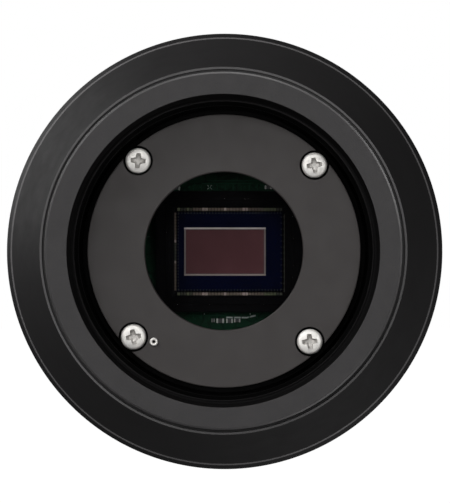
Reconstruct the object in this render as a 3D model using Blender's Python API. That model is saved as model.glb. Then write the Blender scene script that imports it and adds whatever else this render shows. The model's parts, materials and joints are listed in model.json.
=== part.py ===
"""Cooled astronomy camera: a round body with a threaded nose, a window, a cooled image sensor and a fan.

The optical axis is world Y and light enters along +Y. The origin is on that axis, at the nose's front face.
+X is the right-hand side seen from the front, and +Z is up. Dimensions below are in millimetres.
"""

import math

import bmesh
import bpy
from mathutils import Matrix, Vector

MM = 0.001
GAP = 0.3
RUNNING_GAP = 0.1
BIG_SEGMENTS = 48
MID_SEGMENTS = 36
SEAL_SEGMENTS = 36
SMALL_SEGMENTS = 12
SMOOTH_ANGLE = math.radians(32)
WELD = 1e-6
QUARTER_TURN = math.pi / 2

# Body
BODY_R = 31.0
CONE_START_R, CONE_START_Y = 25.85, 1.5
CONE_END_R, CONE_END_Y = 30.4, 11.5
FLANGE_R, FLANGE_FRONT_Y = 31.15, 13.0
SOCKET_R, SOCKET_FLOOR_Y = 25.75, 8.9
DECK_R = 20.1
HOUSING_REAR_Y = 30.0
SPIGOT_R, SPIGOT_REAR_Y = 28.6, 32.0
SHELL_FRONT_Y, SHELL_REAR_Y, SHELL_INNER_R = 30.3, 76.0, 29.0

# Nose ring with an M42 x 0.75 internal thread
NOSE_FACE_OUTER_R, NOSE_OUTER_R = 25.0, 25.25
NOSE_FACE_INNER_R = 22.1
NOSE_REAR_Y = 8.6
THREAD_MINOR_R, THREAD_RELIEF_R = 20.6, 21.2

# Window plate and what it clamps
PLATE_R, PLATE_HOLE_R = 19.41, 11.22
PLATE_FRONT_Y, PLATE_REAR_Y = 7.0, 9.0
PLATE_SCREW_R = 17.72
PLATE_SCREW_TURN = math.radians(-1.5)
COUNTERBORE_R, COUNTERBORE_FLOOR_Y = 2.1, 8.1
EYELET_X, EYELET_Z = -9.94, -12.88
WINDOW_R, WINDOW_FRONT_Y, WINDOW_REAR_Y = 15.7, 9.3, 11.3

# Sensor chamber
CHAMBER_R, CHAMBER_FRONT_Y = 24.0, 15.6
PACKAGE_X = 0.65
PACKAGE_SIZE = (21.1, 17.4)
DIE_SIZE = (15.11, 11.34)
CAVITY_SIZE = (16.03, 12.79)
DIE_X = 0.69
BOARD_R, BOARD_FRONT_Y, BOARD_REAR_Y = 20.5, 20.5, 22.1
BOARD_SCREW_R = 18.0
FINGER_SIZE = (11.8, 9.8)
COOLER_SIDE = 29.0
INSULATION_R = 23.7

# Heat sink
SINK_R, SINK_FRONT_Y, SINK_BASE_Y, FIN_END_Y = 28.3, 33.6, 37.0, 52.0
FIN_PITCH, FIN_THICKNESS, FINS_EACH_SIDE = 3.8, 1.2, 6
SINK_SCREW_R = 26.9
SHELL_SCREW_ANGLES, SHELL_SCREW_Y = (90, 210, 330), 35.3

# Rear: board, fan, cover
VENTS, VENT_WIDTH, VENT_START_Y, VENT_END_Y = 24, 3.4, 38.0, 51.0
MAIN_BOARD_Y = 54.5
MAIN_BOARD_R, MAIN_BOARD_HOLE_R = 28.5, 16.5
LUG_R, LUG_CIRCLE_R, LUG_FRONT_Y = 2.6, 26.5, 56.6
FAN_SIDE, FAN_FRONT_Y, FAN_REAR_Y, FAN_BORE_R = 30.0, 65.7, 75.7, 14.3
FAN_HOLE = 12.0
BLADES, BLADE_TIP_R = 7, 13.8
ROTOR_SHAFT_R = 0.75
BLADE_PITCH = math.radians(42)
COVER_FRONT_Y, COVER_REAR_Y = 76.3, 78.3
GRILLE_RINGS = ((3.2, 5.4), (6.8, 9.0), (10.4, 12.8))
GRILLE_SPOKES = 4
SPOKE_HALF_WIDTH = 0.8

# Desiccant plug on the +X side
PLUG_Y = 22.5
PLUG_R, PLUG_HEAD_R = 4.5, 6.2
PLUG_INNER_X, PLUG_HEAD_X, PLUG_FACE_X = 24.1, 28.7, 29.8
POCKET_R, POCKET_FLOOR_X = 6.6, 27.4
TABLET_R, TABLET_SPACE_R = 3.2, 3.5

# Sockets on the rear, each centred this far from the axis
SOCKET_FRONT_Y, SOCKET_MOUTH_Y = 56.4, 78.0
SOCKET_OFFSET = 22.2

CORNERS = [(45 + 90 * i) for i in range(4)]


def clear_scene():
    for obj in list(bpy.data.objects):
        bpy.data.objects.remove(obj)


def make_material(name, colour, roughness, metallic, transmission=0.0):
    material = bpy.data.materials.new(name)
    material.use_nodes = True
    shader = material.node_tree.nodes["Principled BSDF"]
    shader.inputs["Base Color"].default_value = (*colour, 1.0)
    shader.inputs["Roughness"].default_value = roughness
    shader.inputs["Metallic"].default_value = metallic
    shader.inputs["Transmission Weight"].default_value = transmission
    material.diffuse_color = (*colour, 1.0)
    return material


def polar(radius, degrees):
    """(x, z) at this angle from +X towards +Z."""
    angle = math.radians(degrees)
    return radius * math.cos(angle), radius * math.sin(angle)


def make_object(name, bm, material=None, origin=(0.0, 0.0, 0.0), smooth=True):
    """An object from a bmesh whose coordinates are world millimetres. Its origin is set to `origin`."""
    start = Vector(origin)
    for vertex in bm.verts:
        vertex.co = (vertex.co - start) * MM
    bmesh.ops.recalc_face_normals(bm, faces=bm.faces)
    mesh = bpy.data.meshes.new(name)
    bm.to_mesh(mesh)
    bm.free()
    if smooth:
        mesh.shade_smooth()
        mesh.set_sharp_from_angle(angle=SMOOTH_ANGLE)
    obj = bpy.data.objects.new(name, mesh)
    obj.location = start * MM
    bpy.context.scene.collection.objects.link(obj)
    if material:
        mesh.materials.append(material)
    return obj


def combine(target, operation, bm):
    """Cuts the shapes in bm from the target, or joins them to it, through a hidden helper object."""
    helper = make_object(f"{target.name}_{operation.lower()}_helper", bm, smooth=False)
    helper.hide_render = True
    helper.display_type = "WIRE"
    modifier = target.modifiers.new(operation.title(), "BOOLEAN")
    modifier.operation = operation
    modifier.solver = "EXACT"
    modifier.object = helper


def add_box(bm, low, high):
    centre = [(a + b) / 2 for a, b in zip(low, high)]
    size = [b - a for a, b in zip(low, high)]
    matrix = Matrix.Translation(centre) @ Matrix.Diagonal((*size, 1.0))
    bmesh.ops.create_cube(bm, size=1.0, matrix=matrix)


def add_cylinder(bm, centre, radius, start, end, segments=SMALL_SEGMENTS, axis="Y"):
    """A capped cylinder along Y through (x, z), or along X through (y, z), from start to end."""
    middle = (start + end) / 2
    if axis == "Y":
        place = Matrix.Translation((centre[0], middle, centre[1])) @ Matrix.Rotation(QUARTER_TURN, 4, "X")
    else:
        place = Matrix.Translation((middle, centre[0], centre[1])) @ Matrix.Rotation(QUARTER_TURN, 4, "Y")
    bmesh.ops.create_cone(
        bm,
        cap_ends=True,
        segments=segments,
        radius1=radius,
        radius2=radius,
        depth=end - start,
        matrix=place,
    )


def add_lathe(bm, profile, segments=BIG_SEGMENTS, centre=(0.0, 0.0), axis="Y"):
    """Spins a closed profile of (radius, distance along the axis) about the axis through `centre`."""
    if axis == "Y":
        points = [(centre[0] + r, along, centre[1]) for r, along in profile]
        pivot, direction = (centre[0], 0.0, centre[1]), (0.0, 1.0, 0.0)
    else:
        points = [(along, centre[0] + r, centre[1]) for r, along in profile]
        pivot, direction = (0.0, centre[0], centre[1]), (1.0, 0.0, 0.0)
    verts = [bm.verts.new(point) for point in points]
    edges = []
    for i, (r, _) in enumerate(profile):
        follower = (i + 1) % len(profile)
        if r > 0 or profile[follower][0] > 0:
            edges.append(bm.edges.new((verts[i], verts[follower])))
    bmesh.ops.spin(
        bm,
        geom=verts + edges,
        cent=pivot,
        axis=direction,
        angle=2 * math.pi,
        steps=segments,
        use_merge=True,
    )
    bmesh.ops.remove_doubles(bm, verts=bm.verts, dist=WELD)
    bmesh.ops.dissolve_degenerate(bm, edges=bm.edges, dist=WELD)
    hubs = [vertex for vertex in bm.verts if len(vertex.link_edges) == segments]
    bmesh.ops.dissolve_verts(bm, verts=hubs)


def add_sector(bm, inner, outer, start, end, low, high, steps):
    """A prism along Y from start to end, whose section is a ring sector between angles low and high."""
    angles = [low + (high - low) * i / steps for i in range(steps + 1)]
    outline = [(outer * math.cos(a), outer * math.sin(a)) for a in angles]
    outline += [(inner * math.cos(a), inner * math.sin(a)) for a in reversed(angles)]
    add_prism(bm, outline, start, end)


def add_prism(bm, outline, start, end):
    """A prism along Y from start to end, whose section is the (x, z) outline."""
    face = bm.faces.new([bm.verts.new((x, start, z)) for x, z in outline])
    grown = bmesh.ops.extrude_face_region(bm, geom=[face])
    moved = [item for item in grown["geom"] if isinstance(item, bmesh.types.BMVert)]
    bmesh.ops.translate(bm, verts=moved, vec=(0.0, end - start, 0.0))


def lathe(name, material, profile, segments=BIG_SEGMENTS, centre=(0, 0), axis="Y", origin=(0, 0, 0)):
    bm = bmesh.new()
    add_lathe(bm, profile, segments, centre, axis)
    return make_object(name, bm, material, origin)


def box(name, material, low, high):
    bm = bmesh.new()
    add_box(bm, low, high)
    middle = [(a + b) / 2 for a, b in zip(low, high)]
    return make_object(name, bm, material, middle, smooth=False)


def ring_profile(major, minor, middle, sides=6):
    """A round section for a seal: `major` from the axis, centred at `middle` along it."""
    turn = [math.tau * (i + 0.5) / sides for i in range(sides)]
    return [(major + minor * math.cos(a), middle + minor * math.sin(a)) for a in turn]


def screw_body(name, material, x, z, head_y, head_r, head_height, shank_r, length, sign):
    """A pan-head screw along Y. `sign` is the way its shank points, and head_y is the top of the head."""
    under = head_y + sign * head_height
    tip = under + sign * length
    profile = [
        (0.0, head_y),
        (head_r * 0.75, head_y),
        (head_r, head_y + sign * head_height * 0.4),
        (head_r, under),
        (shank_r, under),
        (shank_r, tip),
        (0.0, tip),
    ]
    return lathe(name, material, profile, SMALL_SEGMENTS, (x, z), origin=(x, head_y, z))


def cross_screw(name, material, x, z, head_y, head_r, head_height, shank_r, length, sign, turn=0.0):
    """A pan-head screw with a cross recess, which is swung round by `turn`."""
    obj = screw_body(name, material, x, z, head_y, head_r, head_height, shank_r, length, sign)
    bm = bmesh.new()
    half, arm, depth = 0.12 * head_r, 0.55 * head_r, 0.6 * head_height
    low_y, high_y = sorted((head_y - sign * 1.0, head_y + sign * depth))
    outline = [
        (arm, -half), (arm, half), (half, half), (half, arm), (-half, arm), (-half, half),
        (-arm, half), (-arm, -half), (-half, -half), (-half, -arm), (half, -arm), (half, -half),
    ]
    cos_turn, sin_turn = math.cos(turn), math.sin(turn)
    swung = [(a * cos_turn - b * sin_turn, a * sin_turn + b * cos_turn) for a, b in outline]
    add_prism(bm, [(x + a, z + b) for a, b in swung], low_y, high_y)
    combine(obj, "DIFFERENCE", bm)


def socket_screw(name, material, x, z, head_y, head_r, head_height, shank_r, length, sign):
    """A cylinder-head screw along Y with a round driver socket."""
    under = head_y + sign * head_height
    tip = under + sign * length
    floor = head_y + sign * 0.5 * head_height
    profile = [
        (0.0, floor),
        (head_r * 0.45, floor),
        (head_r * 0.45, head_y),
        (head_r, head_y),
        (head_r, under),
        (shank_r, under),
        (shank_r, tip),
        (0.0, tip),
    ]
    return lathe(name, material, profile, SMALL_SEGMENTS, (x, z), origin=(x, head_y, z))


def make_nose_ring(metal):
    profile = [
        (NOSE_OUTER_R, 0.25),
        (NOSE_FACE_OUTER_R, 0.0),
        (NOSE_FACE_INNER_R, 0.0),
        (21.6, 2.1),
        (21.2, 2.2),
        (THREAD_MINOR_R, 2.8),
        (THREAD_MINOR_R, 6.8),
        (THREAD_RELIEF_R, 7.2),
        (THREAD_RELIEF_R, NOSE_REAR_Y),
        (NOSE_OUTER_R, NOSE_REAR_Y),
    ]
    lathe("nose_ring", metal, profile)


def make_front_housing(metal):
    profile = [
        (SOCKET_R, CONE_START_Y + 0.1),
        (CONE_START_R, CONE_START_Y),
        (CONE_END_R, CONE_END_Y),
        (CONE_END_R + 0.1, CONE_END_Y + 0.15),
        (FLANGE_R, FLANGE_FRONT_Y),
        (FLANGE_R, HOUSING_REAR_Y - 0.3),
        (FLANGE_R - 0.3, HOUSING_REAR_Y),
        (SPIGOT_R, HOUSING_REAR_Y),
        (SPIGOT_R, SPIGOT_REAR_Y),
        (CHAMBER_R, SPIGOT_REAR_Y),
        (CHAMBER_R, CHAMBER_FRONT_Y),
        (12.2, CHAMBER_FRONT_Y),
        (12.2, 13.3),
        (16.0, 13.3),
        (16.0, 9.3),
        (DECK_R, 9.3),
        (DECK_R, 12.0),
        (21.6, 12.0),
        (21.6, SOCKET_FLOOR_Y),
        (SOCKET_R, SOCKET_FLOOR_Y),
    ]
    housing = lathe("front_housing", metal, profile)
    bosses = bmesh.new()
    for degrees in CORNERS:
        add_cylinder(bosses, polar(BOARD_SCREW_R, degrees), 2.0, CHAMBER_FRONT_Y - 1.0, BOARD_FRONT_Y - GAP)
    combine(housing, "UNION", bosses)
    holes = bmesh.new()
    for degrees in CORNERS:
        screw_at = polar(PLATE_SCREW_R, degrees + math.degrees(PLATE_SCREW_TURN))
        add_cylinder(holes, screw_at, 1.25, 8.0, 13.0)
        add_cylinder(holes, polar(BOARD_SCREW_R, degrees), 1.25, 17.5, 21.5)
        add_cylinder(holes, polar(SINK_SCREW_R, degrees), 1.2, 27.0, 33.0)
    combine(housing, "DIFFERENCE", holes)
    side = bmesh.new()
    bore = PLUG_R + RUNNING_GAP
    port = [
        (0, 22.0),
        (bore, 22.0),
        (bore, POCKET_FLOOR_X),
        (POCKET_R, POCKET_FLOOR_X),
        (POCKET_R, 34.0),
        (0, 34.0),
    ]
    add_lathe(side, port, 32, (PLUG_Y, 0.0), "X")
    combine(housing, "DIFFERENCE", side)


def make_window_plate(paint, zinc):
    profile = [
        (PLATE_R, PLATE_FRONT_Y + 0.15),
        (PLATE_R - 0.15, PLATE_FRONT_Y),
        (PLATE_HOLE_R + 0.2, PLATE_FRONT_Y),
        (PLATE_HOLE_R, PLATE_FRONT_Y + 0.2),
        (PLATE_HOLE_R, PLATE_REAR_Y),
        (PLATE_R, PLATE_REAR_Y),
    ]
    plate = lathe("window_plate", paint, profile)
    holes = bmesh.new()
    stepped = [
        (0, 6.0),
        (COUNTERBORE_R, 6.0),
        (COUNTERBORE_R, COUNTERBORE_FLOOR_Y),
        (1.25, COUNTERBORE_FLOOR_Y),
        (1.25, 10.0),
        (0, 10.0),
    ]
    for degrees in CORNERS:
        add_lathe(holes, stepped, 24, polar(PLATE_SCREW_R, degrees + math.degrees(PLATE_SCREW_TURN)))
    add_cylinder(holes, (EYELET_X, EYELET_Z), 0.55, 6.0, 10.0, 12)
    combine(plate, "DIFFERENCE", holes)
    turns = (0.22, -0.3, 0.35, 0.12)
    for number, degrees in enumerate(CORNERS):
        x, z = polar(PLATE_SCREW_R, degrees + math.degrees(PLATE_SCREW_TURN))
        cross_screw(f"plate_screw_{number + 1}", zinc, x, z, 6.85, 1.8, 0.95, 0.95, 4.6, 1, turns[number])
    eyelet = [(0.2, 6.45), (0.6, 6.45), (0.6, 6.7), (0.36, 6.7), (0.36, 8.9), (0.2, 8.9)]
    lathe("vent_eyelet", zinc, eyelet, 12, (EYELET_X, EYELET_Z), origin=(EYELET_X, PLATE_FRONT_Y, EYELET_Z))


def make_window(glass, rubber):
    disc = [(0, WINDOW_FRONT_Y), (WINDOW_R, WINDOW_FRONT_Y), (WINDOW_R, WINDOW_REAR_Y), (0, WINDOW_REAR_Y)]
    lathe("window_glass", glass, disc, MID_SEGMENTS)
    lathe("window_oring", rubber, ring_profile(13.9, 0.7, 12.3), SEAL_SEGMENTS)


def make_sensor(ceramic, silicon, glass, board_green, zinc):
    half_w, half_h = PACKAGE_SIZE[0] / 2, PACKAGE_SIZE[1] / 2
    low, high = (PACKAGE_X - half_w, 17.2, -half_h), (PACKAGE_X + half_w, 20.2, half_h)
    package = box("sensor_package", ceramic, low, high)
    cavity = bmesh.new()
    add_box(
        cavity,
        (DIE_X - CAVITY_SIZE[0] / 2, 16.0, -CAVITY_SIZE[1] / 2),
        (DIE_X + CAVITY_SIZE[0] / 2, 18.6, CAVITY_SIZE[1] / 2),
    )
    combine(package, "DIFFERENCE", cavity)
    box(
        "sensor_die",
        silicon,
        (DIE_X - DIE_SIZE[0] / 2, 17.5, -DIE_SIZE[1] / 2),
        (DIE_X + DIE_SIZE[0] / 2, 18.3, DIE_SIZE[1] / 2),
    )
    box("sensor_cover_glass", glass, (DIE_X - 9.2, 16.3, -7.6), (DIE_X + 9.2, 16.9, 7.6))
    board = lathe(
        "sensor_board",
        board_green,
        [(0, BOARD_FRONT_Y), (BOARD_R, BOARD_FRONT_Y), (BOARD_R, BOARD_REAR_Y), (0, BOARD_REAR_Y)],
        MID_SEGMENTS,
    )
    holes = bmesh.new()
    half_w, half_h = FINGER_SIZE[0] / 2 + GAP, FINGER_SIZE[1] / 2 + GAP
    add_box(holes, (-half_w, 19.0, -half_h), (half_w, 24.0, half_h))
    for number, degrees in enumerate(CORNERS):
        x, z = polar(BOARD_SCREW_R, degrees)
        add_cylinder(holes, (x, z), 1.25, 19.0, 24.0)
        socket_screw(f"board_screw_{number + 1}", zinc, x, z, 23.4, 1.8, 1.0, 0.95, 4.6, -1)
    combine(board, "DIFFERENCE", holes)


def make_cooler(aluminium, ceramic, pellet, foam, rubber):
    half = COOLER_SIDE / 2
    finger = box("cold_finger", aluminium, (-half, 25.0, -half), (half, 28.8, half))
    pedestal = bmesh.new()
    add_box(
        pedestal,
        (-FINGER_SIZE[0] / 2, BOARD_FRONT_Y, -FINGER_SIZE[1] / 2),
        (FINGER_SIZE[0] / 2, 26.0, FINGER_SIZE[1] / 2),
    )
    combine(finger, "UNION", pedestal)
    box("cooler_cold_plate", ceramic, (-half, 29.1, -half), (half, 29.9, half))
    pellets = box("cooler_pellets", pellet, (-13.2, 31.0, -13.2), (13.2, 31.4, 13.2))
    posts = bmesh.new()
    for column in range(4):
        for row in range(4):
            x, z = -10.2 + 6.8 * column, -10.2 + 6.8 * row
            add_box(posts, (x - 2.0, 30.2, z - 2.0), (x + 2.0, 32.2, z + 2.0))
    combine(pellets, "UNION", posts)
    box("cooler_hot_plate", ceramic, (-half, 32.5, -half), (half, 33.3, half))
    ring = lathe(
        "insulation_ring",
        foam,
        [(0, 24.6), (INSULATION_R, 24.6), (INSULATION_R, 33.2), (0, 33.2)],
        MID_SEGMENTS,
    )
    cuts = bmesh.new()
    opening = half + GAP
    add_box(cuts, (-opening, 24.0, -opening), (opening, 34.0, opening))
    add_box(cuts, (-4.4, 24.0, 18.35), (4.4, 34.0, 19.45))
    combine(ring, "DIFFERENCE", cuts)
    lathe("chamber_oring", rubber, ring_profile(24.9, 0.45, 32.8), SEAL_SEGMENTS)


def make_heat_sink(aluminium, zinc):
    sink = lathe(
        "heat_sink",
        aluminium,
        [(0, SINK_FRONT_Y), (SINK_R, SINK_FRONT_Y), (SINK_R, SINK_BASE_Y), (0, SINK_BASE_Y)],
    )
    fins = bmesh.new()
    for number in range(-FINS_EACH_SIDE, FINS_EACH_SIDE + 1):
        x = number * FIN_PITCH
        reach = math.sqrt((SINK_R - 0.5) ** 2 - (abs(x) + FIN_THICKNESS / 2) ** 2)
        low = (x - FIN_THICKNESS / 2, SINK_BASE_Y - 1.0, -reach)
        high = (x + FIN_THICKNESS / 2, FIN_END_Y, reach)
        add_box(fins, low, high)
    combine(sink, "UNION", fins)
    cuts = bmesh.new()
    add_box(cuts, (-4.5, 32.0, 18.2), (4.5, 53.0, 19.6))
    for number, degrees in enumerate(CORNERS):
        x, z = polar(SINK_SCREW_R, degrees)
        seat = SINK_BASE_Y - 0.2
        stepped = [(0, 33.0), (1.2, 33.0), (1.2, seat), (2.3, seat), (2.3, 53.0), (0, 53.0)]
        add_lathe(cuts, stepped, 12, (x, z))
        socket_screw(f"sink_screw_{number + 1}", zinc, x, z, 38.1, 1.8, 1.0, 0.9, 8.0, -1)
    for degrees in SHELL_SCREW_ANGLES:
        add_radial_hole(cuts, degrees, 1.25, 23.5, 29.0)
    combine(sink, "DIFFERENCE", cuts)


def make_rear_shell(metal, zinc):
    profile = [
        (BODY_R, SHELL_FRONT_Y + 0.3),
        (BODY_R - 0.3, SHELL_FRONT_Y),
        (SHELL_INNER_R, SHELL_FRONT_Y),
        (SHELL_INNER_R, SHELL_REAR_Y),
        (BODY_R, SHELL_REAR_Y),
    ]
    shell = lathe("rear_shell", metal, profile)
    lugs = bmesh.new()
    for degrees in CORNERS:
        add_cylinder(lugs, polar(LUG_CIRCLE_R, degrees), LUG_R + 0.6, LUG_FRONT_Y, SHELL_REAR_Y)
    combine(shell, "UNION", lugs)
    cuts = bmesh.new()
    for number in range(VENTS):
        add_vent(cuts, math.tau * (number + 0.5) / VENTS)
    for degrees in CORNERS:
        add_cylinder(cuts, polar(LUG_CIRCLE_R, degrees), 1.25, 70.0, 77.0)
    for degrees in SHELL_SCREW_ANGLES:
        add_radial_hole(cuts, degrees, 1.25, 28.0, 30.0)
    combine(shell, "DIFFERENCE", cuts)
    pockets = bmesh.new()
    for number, degrees in enumerate(SHELL_SCREW_ANGLES):
        add_radial_hole(pockets, degrees, 2.1, 29.9, 32.0)
        head_x, head_z = polar(BODY_R - 0.1, degrees)
        obj = socket_screw(f"shell_screw_{number + 1}", zinc, 0.0, 0.0, 0.0, 1.8, 0.7, 0.95, 5.0, 1)
        inward = Vector((-head_x, 0.0, -head_z)).normalized()
        obj.rotation_mode = "QUATERNION"
        obj.rotation_quaternion = Vector((0.0, 1.0, 0.0)).rotation_difference(inward)
        obj.location = (head_x * MM, SHELL_SCREW_Y * MM, head_z * MM)
    combine(shell, "DIFFERENCE", pockets)


def add_vent(bm, angle):
    """A block that runs outwards through the shell wall, turned to this angle about the optical axis."""
    low = (-VENT_WIDTH / 2, VENT_START_Y, 27.0)
    high = (VENT_WIDTH / 2, VENT_END_Y, 33.0)
    before = set(bm.verts)
    add_box(bm, low, high)
    mine = [vertex for vertex in bm.verts if vertex not in before]
    bmesh.ops.rotate(bm, verts=mine, cent=(0.0, 0.0, 0.0), matrix=Matrix.Rotation(angle, 3, "Y"))


def add_radial_hole(bm, degrees, radius, start, end):
    """A cylinder that points away from the optical axis at this angle, level with the shell screws."""
    before = set(bm.verts)
    add_cylinder(bm, (SHELL_SCREW_Y, 0.0), radius, start, end, SMALL_SEGMENTS, "X")
    mine = [vertex for vertex in bm.verts if vertex not in before]
    turn = Matrix.Rotation(-math.radians(degrees), 3, "Y")
    bmesh.ops.rotate(bm, verts=mine, cent=(0.0, 0.0, 0.0), matrix=turn)


def make_electronics(board_green, chip_black, polymer):
    board = lathe(
        "main_board",
        board_green,
        [
            (MAIN_BOARD_HOLE_R, MAIN_BOARD_Y),
            (MAIN_BOARD_R, MAIN_BOARD_Y),
            (MAIN_BOARD_R, MAIN_BOARD_Y + 1.6),
            (MAIN_BOARD_HOLE_R, MAIN_BOARD_Y + 1.6),
        ],
        MID_SEGMENTS,
    )
    notches = bmesh.new()
    for degrees in CORNERS:
        add_cylinder(notches, polar(LUG_CIRCLE_R, degrees), 1.25, 53.0, 58.0)
    combine(board, "DIFFERENCE", notches)
    x, z = polar(22.5, 135)
    box("memory_chip", chip_black, (x - 3.0, 52.9, z - 4.0), (x + 3.0, 54.2, z + 4.0))
    x, z = polar(22.5, -45)
    box("usb_chip", chip_black, (x - 3.5, 52.9, z - 3.5), (x + 3.5, 54.2, z + 3.5))
    flex = box("sensor_flex", polymer, (-4.0, BOARD_REAR_Y + GAP, 18.75), (4.0, MAIN_BOARD_Y - GAP, 19.05))
    ends = bmesh.new()
    add_box(ends, (-3.6, BOARD_REAR_Y + GAP, 18.0), (3.6, 24.2, 19.8))
    add_box(ends, (-3.6, 52.6, 18.0), (3.6, MAIN_BOARD_Y - GAP, 19.8))
    combine(flex, "UNION", ends)


def make_fan(black_plastic, copper, zinc):
    half = FAN_SIDE / 2
    frame = box("fan_frame", black_plastic, (-half, FAN_FRONT_Y, -half), (half, FAN_REAR_Y, half))
    cuts = bmesh.new()
    add_cylinder(cuts, (0.0, 0.0), FAN_BORE_R, 64.0, 77.0, MID_SEGMENTS)
    for x in (-FAN_HOLE, FAN_HOLE):
        for z in (-FAN_HOLE, FAN_HOLE):
            add_cylinder(cuts, (x, z), 1.5, 64.0, 77.0, 12)
    combine(frame, "DIFFERENCE", cuts)
    hub = bmesh.new()
    bore = ROTOR_SHAFT_R + RUNNING_GAP
    add_lathe(hub, [(bore, 67.6), (2.2, 67.6), (2.2, 73.6), (6.8, 73.6), (6.8, 75.4), (bore, 75.4)], 24)
    combine(frame, "UNION", hub)
    for number in range(4):
        strut = bmesh.new()
        add_box(strut, (6.2, 74.0, -0.7), (14.7, 75.3, 0.7))
        turn = Matrix.Rotation(math.radians(20 + 90 * number), 3, "Y")
        bmesh.ops.rotate(strut, verts=strut.verts, cent=(0.0, 0.0, 0.0), matrix=turn)
        combine(frame, "UNION", strut)
    lathe("fan_coil", copper, [(2.5, 68.0), (6.0, 68.0), (6.0, 73.2), (2.5, 73.2)], 24)
    rotor = lathe(
        "fan_rotor",
        black_plastic,
        [
            (0, 66.3), (7.1, 66.3), (7.5, 66.7), (7.5, 73.0), (6.5, 73.0), (6.5, 67.2),
            (ROTOR_SHAFT_R, 67.2), (ROTOR_SHAFT_R, 74.8), (0, 74.8),
        ],
        24,
        origin=(0.0, 70.7, 0.0),
    )
    blades = bmesh.new()
    for number in range(BLADES):
        add_blade(blades, math.tau * number / BLADES)
    combine(rotor, "UNION", blades)


def add_blade(bm, angle):
    """A pitched plate from inside the hub's wall out to the tip."""
    made = bmesh.ops.create_cube(bm, size=1.0)["verts"]
    reach = BLADE_TIP_R - 7.0
    size = Matrix.Diagonal((reach, 7.2, 0.8, 1.0))
    pitch = Matrix.Rotation(BLADE_PITCH, 4, "X")
    out = Matrix.Translation((7.0 + reach / 2, 69.8, 0.0))
    swing = Matrix.Rotation(angle, 4, "Y")
    bmesh.ops.transform(bm, verts=made, matrix=swing @ out @ pitch @ size)


def make_rear_cover(metal, zinc):
    profile = [
        (0, COVER_FRONT_Y),
        (BODY_R, COVER_FRONT_Y),
        (BODY_R, COVER_REAR_Y - 0.6),
        (BODY_R - 0.6, COVER_REAR_Y),
        (0, COVER_REAR_Y),
    ]
    cover = lathe("rear_cover", metal, profile)
    cuts = bmesh.new()
    low_y, high_y = COVER_FRONT_Y - 1.0, COVER_REAR_Y + 1.0
    for inner, outer in GRILLE_RINGS:
        for number in range(GRILLE_SPOKES):
            trim = SPOKE_HALF_WIDTH / inner
            start = math.tau * (number + 0.5) / GRILLE_SPOKES + trim
            end = math.tau * (number + 1.5) / GRILLE_SPOKES - trim
            add_sector(cuts, inner, outer, low_y, high_y, start, end, 6)
    for low, high in (usb3_outline(), hub_outline(True), hub_outline(False)):
        add_box(cuts, (low[0] - GAP, low_y, low[1] - GAP), (high[0] + GAP, high_y, high[1] + GAP))
    add_cylinder(cuts, (-SOCKET_OFFSET, 0.0), 4.2, low_y, high_y, 24)
    for x in (-FAN_HOLE, FAN_HOLE):
        for z in (-FAN_HOLE, FAN_HOLE):
            add_cylinder(cuts, (x, z), 1.5, low_y, high_y, 12)
    for degrees in CORNERS:
        centre = polar(LUG_CIRCLE_R, degrees)
        profile = [(0, low_y), (1.25, low_y), (1.25, 77.2), (2.1, 77.2), (2.1, high_y), (0, high_y)]
        add_lathe(cuts, profile, SMALL_SEGMENTS, centre)
    combine(cover, "DIFFERENCE", cuts)
    for number, degrees in enumerate(CORNERS):
        x, z = polar(LUG_CIRCLE_R, degrees)
        cross_screw(f"rear_screw_{number + 1}", zinc, x, z, 78.4, 1.8, 0.9, 0.95, 6.0, -1, 0.3 * number)
    number = 0
    for x in (-FAN_HOLE, FAN_HOLE):
        for z in (-FAN_HOLE, FAN_HOLE):
            number += 1
            cross_screw(f"fan_screw_{number}", zinc, x, z, 79.9, 2.1, 1.3, 1.2, 10.0, -1, 0.4 * number)


def usb3_outline():
    return (-6.0, -SOCKET_OFFSET - 5.2), (6.0, -SOCKET_OFFSET + 5.2)


def hub_outline(upright):
    if upright:
        return (-6.55, SOCKET_OFFSET - 2.9), (6.55, SOCKET_OFFSET + 2.9)
    return (SOCKET_OFFSET - 2.9, -6.55), (SOCKET_OFFSET + 2.9, 6.55)


def make_box_socket(name, shell, insulator, outline, wall, tongue):
    """A hollow metal socket open to the rear, with a plastic tongue standing in it."""
    low, high = outline
    metal = box(name, shell, (low[0], SOCKET_FRONT_Y, low[1]), (high[0], SOCKET_MOUTH_Y, high[1]))
    hollow = bmesh.new()
    add_box(hollow, (low[0] + wall, 68.0, low[1] + wall), (high[0] - wall, 79.0, high[1] - wall))
    combine(metal, "DIFFERENCE", hollow)
    (x0, z0), (x1, z1) = tongue
    box(f"{name}_tongue", insulator, (x0, 68.3, z0), (x1, 77.4, z1))


def make_sockets(nickel, blue_plastic, black_plastic, zinc):
    low, high = usb3_outline()
    middle = (low[1] + high[1]) / 2
    tongue = (-2.8, middle - 3.0), (2.8, middle + 1.6)
    make_box_socket("usb3_socket", nickel, blue_plastic, (low, high), 1.1, tongue)
    low, high = hub_outline(True)
    tongue = (-5.4, low[1] + 1.0), (5.4, low[1] + 2.8)
    make_box_socket("usb_hub_1", nickel, black_plastic, (low, high), 0.4, tongue)
    low, high = hub_outline(False)
    tongue = (low[0] + 1.0, -5.4), (low[0] + 2.8, 5.4)
    make_box_socket("usb_hub_2", nickel, black_plastic, (low, high), 0.4, tongue)
    lathe(
        "dc_jack",
        black_plastic,
        [
            (0, SOCKET_FRONT_Y), (5.0, SOCKET_FRONT_Y), (5.0, 75.9), (3.9, 75.9), (3.9, SOCKET_MOUTH_Y),
            (2.9, SOCKET_MOUTH_Y), (2.9, 68.0), (0, 68.0),
        ],
        24,
        (-SOCKET_OFFSET, 0.0),
    )
    pin = [(0, 68.3), (1.0, 68.3), (1.0, 76.6), (0.6, 77.0), (0, 77.0)]
    lathe("dc_pin", zinc, pin, SMALL_SEGMENTS, (-SOCKET_OFFSET, 0.0))


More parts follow.
